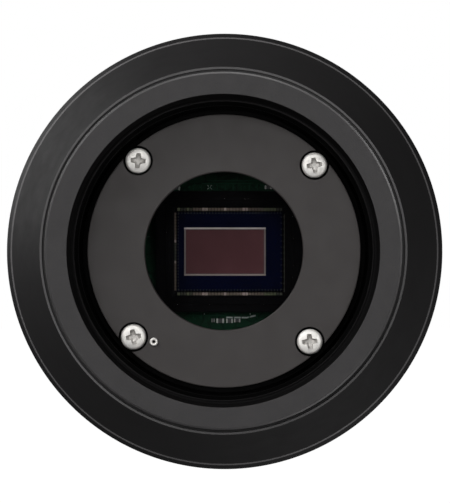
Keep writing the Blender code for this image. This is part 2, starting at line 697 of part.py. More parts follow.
def make_desiccant_plug(metal, rubber, tablet):
    pivot = (PLUG_HEAD_X, PLUG_Y, 0.0)
    floor = PLUG_HEAD_X - 1.3
    profile = [
        (PLUG_R, PLUG_INNER_X),
        (PLUG_R, PLUG_HEAD_X),
        (PLUG_HEAD_R, PLUG_HEAD_X),
        (PLUG_HEAD_R, PLUG_FACE_X - 0.3),
        (PLUG_HEAD_R - 0.3, PLUG_FACE_X),
        (0, PLUG_FACE_X),
        (0, floor),
        (TABLET_SPACE_R, floor),
        (TABLET_SPACE_R, PLUG_INNER_X),
    ]
    plug = lathe("desiccant_plug", metal, profile, 32, (PLUG_Y, 0.0), "X", pivot)
    slot = bmesh.new()
    add_box(slot, (PLUG_FACE_X - 0.8, PLUG_Y - 4.6, -0.6), (PLUG_FACE_X + 1.0, PLUG_Y + 4.6, 0.6))
    combine(plug, "DIFFERENCE", slot)
    seal_x = (POCKET_FLOOR_X + PLUG_HEAD_X) / 2
    lathe("plug_oring", rubber, ring_profile(5.3, 0.35, seal_x, 6), 24, (PLUG_Y, 0.0), "X", pivot)
    low, high = PLUG_INNER_X + 0.4, floor - GAP
    disc = [(0, low), (TABLET_R, low), (TABLET_R, high), (0, high)]
    lathe("desiccant_tablet", tablet, disc, 24, (PLUG_Y, 0.0), "X", pivot)


def build():
    clear_scene()
    anodised = make_material("anodised_aluminium", (0.012, 0.012, 0.013), 0.42, 0.8)
    nose_metal = make_material("turned_nose_aluminium", (0.016, 0.015, 0.016), 0.38, 0.8)
    plate_paint = make_material("plate_anodised_aluminium", (0.05, 0.045, 0.043), 0.55, 0.5)
    raw = make_material("raw_aluminium", (0.62, 0.63, 0.64), 0.35, 1.0)
    zinc = make_material("zinc_steel", (0.72, 0.71, 0.69), 0.3, 1.0)
    nickel = make_material("nickel_plate", (0.66, 0.65, 0.62), 0.25, 1.0)
    copper = make_material("copper_wire", (0.72, 0.3, 0.14), 0.35, 1.0)
    glass = make_material("coated_glass", (0.95, 0.97, 1.0), 0.02, 0.0, 1.0)
    black_ceramic = make_material("package_ceramic", (0.01, 0.01, 0.011), 0.5, 0.0)
    white_ceramic = make_material("cooler_ceramic", (0.8, 0.8, 0.77), 0.5, 0.0)
    silicon = make_material("sensor_silicon", (0.01, 0.012, 0.04), 0.15, 0.3)
    pellet = make_material("cooler_pellets", (0.35, 0.36, 0.38), 0.5, 0.7)
    board = make_material("circuit_board", (0.01, 0.09, 0.04), 0.4, 0.0)
    chip = make_material("chip_epoxy", (0.02, 0.02, 0.02), 0.5, 0.0)
    foam = make_material("insulation_foam", (0.05, 0.05, 0.05), 0.9, 0.0)
    rubber = make_material("seal_rubber", (0.015, 0.015, 0.015), 0.7, 0.0)
    black_plastic = make_material("black_plastic", (0.02, 0.02, 0.02), 0.45, 0.0)
    blue_plastic = make_material("blue_plastic", (0.02, 0.12, 0.55), 0.45, 0.0)
    polymer = make_material("flex_polymer", (0.35, 0.14, 0.02), 0.4, 0.0)
    tablet = make_material("desiccant", (0.78, 0.72, 0.6), 0.9, 0.0)
    make_nose_ring(nose_metal)
    make_front_housing(anodised)
    make_window_plate(plate_paint, zinc)
    make_window(glass, rubber)
    make_sensor(black_ceramic, silicon, glass, board, zinc)
    make_cooler(raw, white_ceramic, pellet, foam, rubber)
    make_heat_sink(raw, zinc)
    make_rear_shell(anodised, zinc)
    make_electronics(board, chip, polymer)
    make_fan(black_plastic, copper, zinc)
    make_rear_cover(anodised, zinc)
    make_sockets(nickel, blue_plastic, black_plastic, zinc)
    make_desiccant_plug(anodised, rubber, tablet)


build()
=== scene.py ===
"""Cooled astronomy camera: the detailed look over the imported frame. Lengths below are in millimetres."""

import json
import math

import bmesh
import bpy
from mathutils import Matrix, Vector


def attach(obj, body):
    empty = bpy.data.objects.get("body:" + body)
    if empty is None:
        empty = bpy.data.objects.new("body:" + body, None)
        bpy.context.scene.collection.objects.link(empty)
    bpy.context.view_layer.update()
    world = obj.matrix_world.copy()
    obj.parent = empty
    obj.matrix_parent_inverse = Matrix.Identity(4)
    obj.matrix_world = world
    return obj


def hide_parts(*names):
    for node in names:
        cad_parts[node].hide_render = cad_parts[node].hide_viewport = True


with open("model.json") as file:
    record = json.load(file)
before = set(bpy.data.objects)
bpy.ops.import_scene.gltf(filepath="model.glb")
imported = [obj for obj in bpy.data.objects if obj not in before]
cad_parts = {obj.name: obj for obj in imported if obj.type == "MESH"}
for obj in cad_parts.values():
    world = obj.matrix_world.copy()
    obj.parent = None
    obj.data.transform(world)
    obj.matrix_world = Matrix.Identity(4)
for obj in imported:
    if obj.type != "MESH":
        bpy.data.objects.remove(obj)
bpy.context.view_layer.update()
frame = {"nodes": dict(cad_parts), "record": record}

MM = 0.001
TAU = math.tau
BODY = "camera"
FINE = 256
MEDIUM = 128
SHARP = math.radians(28)
SUPPORT = 0.04
CORNERS = (45, 135, 225, 315)
PLATE_TURN = -1.5
PLATE_SCREW_RADIUS = 17.72
BOARD_SCREW_RADIUS = 18.0
REAR_SCREW_RADIUS = 26.5
FAN_HOLES = [(x, z) for x in (-12.0, 12.0) for z in (-12.0, 12.0)]
SHELL_SCREWS, SHELL_SCREW_Y = (90, 210, 330), 35.3
EYELET = (-9.94, -12.88)
JACK = (-22.2, 0.0)
PLUG_Y = 22.5


# ---------------------------------------------------------------- materials

def new_material(name, colour, roughness, metallic=0.0, specular=0.5):
    material = bpy.data.materials.new(name)
    material.use_nodes = True
    shader = material.node_tree.nodes["Principled BSDF"]
    shader.inputs["Base Color"].default_value = (*colour, 1.0)
    shader.inputs["Roughness"].default_value = roughness
    shader.inputs["Metallic"].default_value = metallic
    shader.inputs["Specular IOR Level"].default_value = specular
    return material, material.node_tree, shader


def add_node(tree, kind, **inputs):
    node = tree.nodes.new(kind)
    for key, value in inputs.items():
        node.inputs[key.replace("_", " ")].default_value = value
    return node


def math_node(tree, operation, first, second=None):
    node = tree.nodes.new("ShaderNodeMath")
    node.operation = operation
    for socket, value in zip(node.inputs, (first, second)):
        if value is None:
            continue
        if isinstance(value, (int, float)):
            socket.default_value = value
        else:
            tree.links.new(value, socket)
    return node.outputs[0]


def average(tree, first, second):
    return math_node(tree, "MULTIPLY", math_node(tree, "ADD", first, second), 0.5)


def position(tree):
    return tree.nodes.new("ShaderNodeTexCoord").outputs["Object"]


def noise(tree, size_mm, detail=3.0, stretch=None):
    """Noise whose grains are about size_mm across."""
    node = add_node(tree, "ShaderNodeTexNoise", Scale=1000.0 / size_mm, Detail=detail)
    source = position(tree)
    if stretch:
        mapping = tree.nodes.new("ShaderNodeMapping")
        mapping.inputs["Scale"].default_value = stretch
        tree.links.new(source, mapping.inputs["Vector"])
        source = mapping.outputs["Vector"]
    tree.links.new(source, node.inputs["Vector"])
    return node.outputs["Fac"]


def spread(tree, value, low, high, start=0.3, end=0.7):
    """Maps a value between start and end onto low to high."""
    node = add_node(tree, "ShaderNodeMapRange", From_Min=start, From_Max=end, To_Min=low, To_Max=high)
    tree.links.new(value, node.inputs["Value"])
    return node.outputs["Result"]


def vary_colour(tree, shader, colour, amount, fac, tint=(1.0, 1.0, 1.0)):
    """Mixes between a darker and a lighter tone of the colour."""
    mix = tree.nodes.new("ShaderNodeMix")
    mix.data_type = "RGBA"
    dark = [c * (1 - amount) for c in colour]
    light = [c * (1 + amount) * t for c, t in zip(colour, tint)]
    mix.inputs["A"].default_value = (*dark, 1.0)
    mix.inputs["B"].default_value = (*light, 1.0)
    tree.links.new(fac, mix.inputs["Factor"])
    tree.links.new(mix.outputs["Result"], shader.inputs["Base Color"])


def vary_roughness(tree, shader, fac, low, high):
    """Lets the roughness wander between low and high."""
    tree.links.new(spread(tree, fac, low, high), shader.inputs["Roughness"])


def bump(tree, shader, height, micrometres, strength=1.0, before=None):
    node = add_node(tree, "ShaderNodeBump", Strength=strength, Distance=micrometres * 1e-6)
    tree.links.new(height, node.inputs["Height"])
    if before:
        tree.links.new(before, node.inputs["Normal"])
    tree.links.new(node.outputs["Normal"], shader.inputs["Normal"])
    return node.outputs["Normal"]


def axis_distance(tree):
    """Distance from the optical axis, in metres."""
    split = tree.nodes.new("ShaderNodeSeparateXYZ")
    tree.links.new(position(tree), split.inputs[0])
    x2 = math_node(tree, "MULTIPLY", split.outputs["X"], split.outputs["X"])
    z2 = math_node(tree, "MULTIPLY", split.outputs["Z"], split.outputs["Z"])
    return math_node(tree, "SQRT", math_node(tree, "ADD", x2, z2))


def anodised(name, colour, roughness, grain=0.12, grain_depth=4.0, mottle=0.10, specular=0.5):
    """Dyed anodised aluminium over a fine bead-blasted surface."""
    material, tree, shader = new_material(name, colour, roughness, 0.0, specular)
    cloud = spread(tree, noise(tree, 6.0, 4.0), 0.0, 1.0)
    fine = noise(tree, grain, 2.0)
    both = average(tree, cloud, spread(tree, fine, 0.0, 1.0))
    vary_colour(tree, shader, colour, mottle, both)
    vary_roughness(tree, shader, noise(tree, 2.5, 3.0), roughness - 0.05, roughness + 0.05)
    bump(tree, shader, fine, grain_depth, 0.6)
    return material


def turned(name, colour, roughness, pitch=0.09, depth=2.0, specular=0.5):
    """Anodised aluminium with the fine concentric lines of a lathe-turned face."""
    material, tree, shader = new_material(name, colour, roughness, 0.0, specular)
    radius = axis_distance(tree)
    line = math_node(tree, "SINE", math_node(tree, "MULTIPLY", radius, TAU / (pitch * MM)))
    ripple = math_node(tree, "SINE", math_node(tree, "MULTIPLY", radius, TAU / (pitch * 4.3 * MM)))
    grooves = math_node(tree, "ADD", line, math_node(tree, "MULTIPLY", ripple, 0.6))
    fine = noise(tree, 0.1, 2.0)
    cloud = spread(tree, noise(tree, 5.0, 4.0), 0.0, 1.0)
    speck = spread(tree, noise(tree, 0.25, 2.0), 0.0, 1.0)
    both = average(tree, cloud, speck)
    vary_colour(tree, shader, colour, 0.2, both)
    vary_roughness(tree, shader, noise(tree, 1.5, 3.0), roughness - 0.04, roughness + 0.05)
    first = bump(tree, shader, fine, 3.0, 0.5)
    bump(tree, shader, grooves, depth, 0.5, first)
    return material


def bright_metal(name, colour, roughness, brushed=0.0, cloud_mm=1.0, metallic=1.0, depth=4.0):
    """Plated or bare metal with fine scratches and slightly uneven polish."""
    material, tree, shader = new_material(name, colour, roughness, metallic)
    patch = spread(tree, noise(tree, cloud_mm, 4.0), 0.0, 1.0)
    vary_colour(tree, shader, colour, 0.08, patch, (1.0, 0.99, 0.97))
    vary_roughness(tree, shader, noise(tree, cloud_mm * 0.4, 3.0), roughness * 0.75, roughness * 1.3)
    fine = noise(tree, 0.08, 3.0, stretch=(1.0, 1.0, 1.0 + brushed))
    bump(tree, shader, fine, depth, 0.5)
    return material


def plastic(name, colour, roughness, grain=0.25, depth=5.0, specular=0.5):
    material, tree, shader = new_material(name, colour, roughness, 0.0, specular)
    fine = noise(tree, grain, 3.0)
    vary_colour(tree, shader, colour, 0.10, spread(tree, noise(tree, 3.0, 3.0), 0.0, 1.0))
    vary_roughness(tree, shader, noise(tree, 1.2, 2.0), roughness - 0.06, roughness + 0.08)
    bump(tree, shader, fine, depth, 0.6)
    return material


def coated_glass(name, tint, opacity):
    """Thin anti-reflection coated glass: nearly clear, with a faint coloured sheen."""
    material, tree, shader = new_material(name, tint, 0.03, 0.0, 0.6)
    shader.inputs["Alpha"].default_value = opacity
    vary_roughness(tree, shader, noise(tree, 8.0, 2.0), 0.02, 0.05)
    return material


def circuit_board(name):
    """Green solder mask with buried copper pours that show as paler areas."""
    green = (0.0016, 0.0185, 0.0080)
    material, tree, shader = new_material(name, green, 0.4, 0.0, 0.05)
    split = tree.nodes.new("ShaderNodeTexVoronoi")
    split.feature = "DISTANCE_TO_EDGE"
    split.inputs["Scale"].default_value = 420.0
    tree.links.new(position(tree), split.inputs["Vector"])
    pours = spread(tree, split.outputs["Distance"], 0.0, 1.0, 0.02, 0.06)
    vary_colour(tree, shader, green, 0.28, pours)
    weave = noise(tree, 0.35, 2.0)
    vary_roughness(tree, shader, weave, 0.28, 0.42)
    first = bump(tree, shader, weave, 3.0, 0.4)
    bump(tree, shader, pours, 18.0, 0.6, first)
    return material


def sensor_surface(name, colour, roughness, pitch, amount, specular=0.25):
    """Silicon with a very fine square grid, as pixels or logic blocks have."""
    material, tree, shader = new_material(name, colour, roughness, 0.0, specular)
    split = tree.nodes.new("ShaderNodeSeparateXYZ")
    tree.links.new(position(tree), split.inputs[0])
    waves = []
    for output in ("X", "Z"):
        turns = math_node(tree, "MULTIPLY", split.outputs[output], TAU / (pitch * MM))
        waves.append(math_node(tree, "SINE", turns))
    grid = math_node(tree, "ADD", math_node(tree, "MULTIPLY", waves[0], waves[1]), 1.0)
    cloud = spread(tree, noise(tree, 5.0, 2.0), 0.0, 1.0)
    both = math_node(
        tree, "ADD", math_node(tree, "MULTIPLY", grid, 0.2), math_node(tree, "MULTIPLY", cloud, 0.6)
    )
    vary_colour(tree, shader, colour, amount, both, (1.0, 1.0, 1.06))
    return material


def foam(name, colour):
    material, tree, shader = new_material(name, colour, 0.9)
    cells = noise(tree, 0.5, 4.0)
    vary_colour(tree, shader, colour, 0.35, spread(tree, cells, 0.0, 1.0))
    bump(tree, shader, cells, 90.0, 0.7)
    return material


MATERIALS = {
    "housing": anodised("housing_anodised", (0.019, 0.0183, 0.0187), 0.5, specular=0.22),
    # The edge and rim looks are brighter copies of the turned finish for bevels and rims: painted highlight.
    "edge": turned("turned_edge_painted_highlight", (0.046, 0.044, 0.045), 0.45, specular=0.35),
    "rim": turned("turned_rim_painted_highlight", (0.105, 0.101, 0.103), 0.4, specular=0.5),
    # The groove look is a darker copy of the turned finish for the groove floor: painted shade.
    "groove": turned("turned_groove_painted_shade", (0.0125, 0.012, 0.0122), 0.5, specular=0.2),
    # The bore, lead-in and step looks are darker copies of the turned finish for the nose ring's bore:
    # painted shade.
    "bore": turned("bore_thread_painted_shade", (0.0034, 0.0032, 0.0033), 0.65, specular=0.05),
    "lead_in_painted_shade": turned("bore_lead_in_painted_shade", (0.0004, 0.0004, 0.0004), 0.8, specular=0.03),
    "step": turned("bore_step_painted_shade", (0.0105, 0.0098, 0.0102), 0.6, specular=0.1),
    "shell": anodised("shell_anodised", (0.0125, 0.012, 0.0125), 0.48, 0.16, 6.0),
    # The deep look is a near-black copy of the anodise for recess walls: painted shade.
    "deep": anodised("recess_painted_shade", (0.0015, 0.0014, 0.0015), 0.75, 0.2, 3.0, 0.1, 0.08),
    "nose": turned("nose_turned", (0.0172, 0.0158, 0.0165), 0.5, specular=0.3),
    "plate": anodised("plate_anodised", (0.0266, 0.0231, 0.0224), 0.55, 0.10, 3.0, 0.09, 0.3),
    "cover": anodised("cover_anodised", (0.014, 0.0135, 0.014), 0.5, 0.16, 6.0),
    "plug": turned("plug_turned", (0.014, 0.0135, 0.014), 0.42),
    "zinc": bright_metal("zinc_plate", (0.64, 0.627, 0.605), 0.46, metallic=0.4, cloud_mm=0.7),
    # The recess look is a darker zinc for the screws' cross recesses: painted shade.
    "recess": bright_metal("zinc_recess_painted_shade", (0.44, 0.427, 0.41), 0.5, cloud_mm=0.3, metallic=0.4),
    "nickel": bright_metal("nickel_plate", (0.60, 0.59, 0.56), 0.36, 3.0, 2.0, 0.4, 1.0),
    "contact": bright_metal("contact_gold", (0.60, 0.42, 0.18), 0.34, 0.0, 0.5, 0.5, 1.0),
    "gold": bright_metal("gold_plate", (0.085, 0.064, 0.050), 0.5, 0.0, 0.5, 0.4),
    "bright_pad": bright_metal("bright_pad", (0.25, 0.20, 0.185), 0.5, 0.0, 0.5, 0.3),
    "green_pad": bright_metal("green_pad", (0.062, 0.072, 0.032), 0.5, 0.0, 0.5, 0.3),
    "dim_pad": bright_metal("dim_pad", (0.016, 0.018, 0.009), 0.5, 0.0, 0.5, 0.3),
    "raw": bright_metal("machined_aluminium", (0.36, 0.366, 0.372), 0.45, 6.0, 3.0, 0.5),
    "copper": bright_metal("enamelled_copper", (0.62, 0.24, 0.10), 0.35, 0.0, 0.6),
    "glass": coated_glass("window_coated", (0.0006, 0.0006, 0.0012), 0.05),
    "cover_glass": coated_glass("cover_coated", (0.0005, 0.0008, 0.0009), 0.04),
    "ceramic": plastic("black_ceramic", (0.0012, 0.0011, 0.0014), 0.6, 0.2, 4.0, 0.03),
    "alumina": plastic("white_alumina", (0.74, 0.74, 0.70), 0.55, 0.2, 4.0),
    "pellet": bright_metal("semiconductor", (0.30, 0.31, 0.33), 0.5),
    "board": circuit_board("solder_mask"),
    "track": plastic("buried_track", (0.004, 0.040, 0.019), 0.4, 0.2, 2.0, 0.05),
    "silk": plastic("silkscreen", (0.40, 0.45, 0.42), 0.6, 0.1, 2.0, 0.1),
    "chip": plastic("chip_epoxy", (0.018, 0.018, 0.019), 0.5, 0.12, 4.0),
    "resistor": plastic("resistor_body", (0.050, 0.054, 0.056), 0.4, 0.1, 2.0, 0.2),
    "solder": bright_metal("solder", (0.36, 0.37, 0.35), 0.45, 0.0, 0.3, 0.3),
    "die": sensor_surface("sensor_logic", (0.0010, 0.0018, 0.0095), 0.15, 0.11, 0.35, 0.06),
    "pixels": sensor_surface("sensor_pixels", (0.072, 0.0295, 0.0315), 0.2, 0.06, 0.14, 0.08),
    # The guard ring's top strip gets a lighter copy and its side strips a darker copy: painted highlight and
    # painted shade.
    "guard": plastic("sensor_guard", (0.20, 0.178, 0.172), 0.45, 0.08, 1.0, 0.1),
    "guard_side_painted_shade": plastic("sensor_guard_side_painted_shade", (0.13, 0.115, 0.112), 0.45, 0.08, 1.0, 0.1),
    "guard_top_painted_highlight": plastic("sensor_guard_top_painted_highlight", (0.40, 0.357, 0.352), 0.45, 0.08, 1.0, 0.1),
    "foam": foam("closed_cell_foam", (0.035, 0.035, 0.036)),
    "rubber": plastic("seal_rubber", (0.012, 0.012, 0.012), 0.65, 0.3, 6.0),
    "black_plastic": plastic("black_plastic", (0.016, 0.016, 0.017), 0.42, 0.3, 8.0),
    "blue_plastic": plastic("blue_plastic", (0.015, 0.10, 0.48), 0.42, 0.3, 5.0),
    "flex": plastic("flex_film", (0.32, 0.13, 0.02), 0.35, 0.2, 3.0),
    "tablet": foam("pressed_tablet", (0.72, 0.66, 0.55)),
}


# ---------------------------------------------------------------- shape helpers

def link_piece(name, mesh, material, replaces=(), slot=None, body=BODY, sharp=SHARP):
    """Puts a mesh in the scene, riding a body. Its vertices are already in the shared frame, in metres."""
    mesh.shade_smooth()
    mesh.set_sharp_from_angle(angle=sharp)
    obj = bpy.data.objects.new(name, mesh)
    bpy.context.scene.collection.objects.link(obj)
    names = material if isinstance(material, (list, tuple)) else [material]
    if not mesh.materials:
        for key in names:
            mesh.materials.append(MATERIALS[key])
    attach(obj, body)
    if replaces:
        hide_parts(*replaces)
    return obj


def finish_mesh(name, bm):
    """A mesh from a bmesh in millimetres, with its faces pointing out."""
    bmesh.ops.recalc_face_normals(bm, faces=bm.faces)
    bmesh.ops.scale(bm, vec=(MM, MM, MM), verts=bm.verts)
    mesh = bpy.data.meshes.new(name)
    bm.to_mesh(mesh)
    bm.free()
    return mesh


def piece(name, bm, material, **where):
    return link_piece(name, finish_mesh(name, bm), material, **where)


def soften(corners, steps=3, closed=True):
    """Rounds each (radius, distance, bevel) corner, and adds a point beside it that keeps the flats flat."""
    points = []
    count = len(corners)
    for i, (r, y, bevel) in enumerate(corners):
        here = Vector((r, y))
        if bevel <= 0 or (not closed and i in (0, count - 1)):
            points.append((r, y))
            continue
        before = Vector(corners[i - 1][:2]) - here
        after = Vector(corners[(i + 1) % count][:2]) - here
        reach = min(bevel, before.length * 0.45, after.length * 0.45)
        start = here + before.normalized() * reach
        end = here + after.normalized() * reach
        if before.length * 0.5 > reach + SUPPORT:
            side = start + before.normalized() * SUPPORT
            points.append((side.x, side.y))
        for step in range(steps + 1):
            t = step / steps
            point = start * (1 - t) ** 2 + here * 2 * t * (1 - t) + end * t ** 2
            points.append((max(point.x, 0.0), point.y))
        if after.length * 0.5 > reach + SUPPORT:
            side = end + after.normalized() * SUPPORT
            points.append((side.x, side.y))
    return points


def add_lathe(bm, profile, segments=FINE, centre=(0.0, 0.0), axis="Y", swell=None):
    """Turns a closed section of (radius, distance) about an axis. `swell` adds to the radius."""
    rings = []
    for i, (r, y) in enumerate(profile):
        ring = []
        spots = 1 if r < 1e-6 else segments
        for k in range(spots):
            angle = TAU * k / segments
            radius = r + (swell(angle, i) if swell and spots > 1 else 0.0)
            u, v = radius * math.cos(angle), radius * math.sin(angle)
            if axis == "Y":
                co = (centre[0] + u, y, centre[1] + v)
            else:
                co = (y, centre[0] + u, centre[1] + v)
            ring.append(bm.verts.new(co))
        rings.append(ring)
    count = len(rings)
    for i in range(count):
        a, b = rings[i], rings[(i + 1) % count]
        if len(a) == 1 and len(b) == 1:
            continue
        for k in range(segments):
            n = (k + 1) % segments
            if len(a) == 1:
                corners = (a[0], b[n], b[k])
            elif len(b) == 1:
                corners = (a[k], a[n], b[0])
            else:
                corners = (a[k], a[n], b[n], b[k])
            bm.faces.new(corners)


def add_block(bm, low, high, bevel=0.0, segments=2, matrix=None, material_index=0):
    """A box between two corners, with its edges rounded."""
    centre = [(a + b) / 2 for a, b in zip(low, high)]
    size = [b - a for a, b in zip(low, high)]
    before_faces = set(bm.faces)
    made = bmesh.ops.create_cube(
        bm, size=1.0, matrix=Matrix.Translation(centre) @ Matrix.Diagonal((*size, 1.0))
    )
    verts = made["verts"]
    if bevel > 0:
        edges = list({edge for vertex in verts for edge in vertex.link_edges})
        bmesh.ops.bevel(bm, geom=edges, offset=bevel, segments=segments, profile=0.7, affect="EDGES")
    faces = [face for face in bm.faces if face not in before_faces]
    for face in faces:
        face.material_index = material_index
    if matrix is not None:
        bmesh.ops.transform(
            bm, matrix=matrix, verts=list({vertex for face in faces for vertex in face.verts})
        )


def add_loft(bm, sections, material_index=0):
    """A closed solid through outlines that have the same number of points."""
    rings = [[bm.verts.new(point) for point in section] for section in sections]
    count = len(rings[0])
    made = [bm.faces.new(rings[0]), bm.faces.new(rings[-1][::-1])]
    for a, b in zip(rings, rings[1:]):
        for k in range(count):
            n = (k + 1) % count
            made.append(bm.faces.new((a[k], b[k], b[n], a[n])))
    for face in made:
        face.material_index = material_index


def add_rod(bm, centre, radius, start, end, segments=48):
    """A plain rod along Y through (x, z)."""
    add_lathe(bm, [(0, start), (radius, start), (radius, end), (0, end)], segments, centre)


def polar(radius, degrees):
    angle = math.radians(degrees)
    return radius * math.cos(angle), radius * math.sin(angle)


def cut(obj, cutter):
    """Cuts the shapes in the bmesh from the object, and keeps the result as its mesh."""
    mesh = finish_mesh("cutter", cutter)
    helper = bpy.data.objects.new("cutter", mesh)
    bpy.context.scene.collection.objects.link(helper)
    modifier = obj.modifiers.new("cut", "BOOLEAN")
    modifier.operation = "DIFFERENCE"
    modifier.solver = "EXACT"
    modifier.object = helper
    bpy.context.view_layer.update()
    graph = bpy.context.evaluated_depsgraph_get()
    made = bpy.data.meshes.new_from_object(obj.evaluated_get(graph))
    obj.modifiers.remove(modifier)
    bpy.data.objects.remove(helper)
    bpy.data.meshes.remove(mesh)
    old = obj.data
    obj.data = made
    bpy.data.meshes.remove(old)
    made.shade_smooth()
    made.set_sharp_from_angle(angle=SHARP)


# ---------------------------------------------------------------- front

THREAD_PITCH, THREAD_DEPTH = 0.75, 0.40
THREAD_FROM, THREAD_TO = 2.9, 6.9
THREAD_STEP = 0.0625


def make_nose_ring():
    """The ring whose bore carries the telescope thread, cut as a true helix."""
    front = [
        (25.25, 8.6, 0.25), (25.25, 0.26, 0.03), (25.0, 0.0, 0.03), (22.12, 0.0, 0.05),
        (21.62, 2.1, 0.06), (21.36, 2.2, 0.04), (21.16, 1.96, 0.04), (21.02, 2.0, 0.04),
    ]
    profile = soften(front, 3, closed=False)
    first_thread = len(profile)
    steps = round((THREAD_TO - THREAD_FROM) / THREAD_STEP)
    profile += [(20.6, THREAD_FROM + THREAD_STEP * i) for i in range(steps + 1)]
    last_thread = len(profile) - 1
    profile += [(21.2, 7.3), (21.2, 8.6)]

    def swell(angle, i):
        if not first_thread <= i <= last_thread:
            return 0.0
        along = profile[i][1]
        phase = (along / THREAD_PITCH - angle / TAU) % 1.0
        flank = min(max(abs(phase - 0.5) * 2 - 0.12, 0.0) / 0.70, 1.0)
        fade = min((along - THREAD_FROM) / 0.5, (THREAD_TO - along) / 0.5, 1.0)
        return THREAD_DEPTH * (1 - flank) * max(fade, 0.0)

    bm = bmesh.new()
    add_lathe(bm, profile, FINE, swell=swell)
    for face in bm.faces:
        centre = face.calc_center_median()
        radius = math.hypot(centre.x, centre.z)
        # The front outer bevel gets the brighter edge copy: painted highlight.
        if radius > 24.98 and centre.y < 0.3:
            face.material_index = 2
        # Inside the bore the faces get darker copies of the turned finish: painted shade.
        elif centre.y > 3.0 or 21.6 < radius < 22.05 and centre.y > 0.05:
            face.material_index = 1 if radius < 22.05 else 0
        elif radius < 21.6:
            face.material_index = 5 if radius > 21.34 else 3 if radius > 21.12 else 4
    looks = ["nose", "bore", "edge", "step", "lead_in_painted_shade", "deep"]
    piece("nose_ring_turned", bm, looks, replaces=["nose_ring"], slot="turned_nose_aluminium")


CONE_PIECE = "front_cone_turned"


def make_front_housing():
    """The coned front body, with the socket for the nose ring, the window seat and the sensor chamber."""
    cone = [
        (25.62, 13.8, 0), (25.62, 1.66, 0.02), (25.66, 1.48, 0.02), (25.98, 1.48, 0.04), (30.36, 11.42, 0.04),
        (30.52, 11.62, 0.04), (31.02, 12.9, 0.1), (31.15, 13.3, 0.2), (31.15, 13.8, 0),
    ]
    bm = bmesh.new()
    add_lathe(bm, soften(cone, 2), FINE)
    add_lathe(bm, soften([(25.27, 1.72, 0.02), (25.6, 1.72, 0.02), (25.6, 2.2, 0), (25.27, 2.2, 0)], 1), FINE)
    for face in bm.faces:
        centre = face.calc_center_median()
        radius = math.hypot(centre.x, centre.z)
        # The groove floor gets the darker groove copy: painted shade.
        if radius < 25.6 and centre.y < 2.3:
            face.material_index = 3
        # The socket walls behind the groove get the near-black look: painted shade.
        elif radius < 25.63 and 1.7 < centre.y:
            face.material_index = 1
        # The front lip and the rim bevel get brighter copies of the finish: painted highlight.
        elif radius < 25.97 and centre.y < 1.66:
            face.material_index = 2
        elif 30.32 < radius < 30.56 and centre.y < 11.75:
            face.material_index = 4
        elif radius > 30.56 and centre.y < 13.25:
            face.material_index = 5
    looks = ["housing", "deep", "edge", "groove", "rim", "shell"]
    piece(CONE_PIECE, bm, looks, replaces=["front_housing"], slot="anodised_aluminium")
    drum = [
        (25.75, 13.8, 0), (31.15, 13.8, 0), (31.15, 29.75, 0.15), (30.9, 30.0, 0.12), (28.6, 30.0, 0.1),
        (28.6, 32.0, 0.2), (24.0, 32.0, 0.2), (24.0, 15.6, 0.1), (12.2, 15.6, 0.1), (12.2, 13.3, 0.1),
        (16.0, 13.3, 0), (16.0, 9.3, 0.1), (20.1, 9.3, 0.08), (20.1, 12.0, 0), (21.6, 12.0, 0),
        (21.6, 8.9, 0.1),
        (25.6, 8.9, 0),
    ]
    bm = bmesh.new()
    add_lathe(bm, soften(drum, 2), FINE)
    for face in bm.faces:
        centre = face.calc_center_median()
        # The drum's inner walls get the near-black look: painted shade.
        if math.hypot(centre.x, centre.z) < 25.76 and centre.y < 31.0:
            face.material_index = 1
    obj = piece("front_drum_turned", bm, ["housing", "deep"], slot="anodised_aluminium")
    holes = bmesh.new()
    add_lathe(
        holes,
        [(0, 22.5), (4.6, 22.5), (4.6, 27.4), (6.6, 27.4), (6.6, 34.0), (0, 34.0)],
        96, (PLUG_Y, 0.0), "X",
    )
    for degrees in CORNERS:
        add_rod(holes, polar(PLATE_SCREW_RADIUS, degrees + PLATE_TURN), 1.15, 8.0, 12.9, 32)
    cut(obj, holes)
    ledges = bmesh.new()
    for degrees in CORNERS:
        add_rod(ledges, polar(BOARD_SCREW_RADIUS, degrees), 2.0, 15.2, 20.2, 40)
    # The standoffs get the near-black look: painted shade.
    piece("board_standoffs", ledges, "deep", slot="anodised_aluminium")


def phillips_cutter(bm, x, z, top, sign, arm, half, depth, turn):
    """A tapered cross. `top` is the head's surface and `sign` is the way into it."""
    def outline(a, h, y):
        shape = [
            (a, -h * 0.7), (a, h * 0.7), (h, h), (h * 0.7, a), (-h * 0.7, a), (-h, h),
            (-a, h * 0.7), (-a, -h * 0.7), (-h, -h), (-h * 0.7, -a), (h * 0.7, -a), (h, -h),
        ]
        c, s = math.cos(turn), math.sin(turn)
        return [(x + p * c - q * s, y, z + p * s + q * c) for p, q in shape]
    sections = [
        outline(arm * 1.08, half * 1.05, top - sign * 0.5),
        outline(arm, half, top + sign * 0.05),
        outline(arm * 0.62, half * 0.85, top + sign * depth * 0.8),
        outline(arm * 0.3, half * 0.5, top + sign * depth),
    ]
    add_loft(bm, sections, 0)


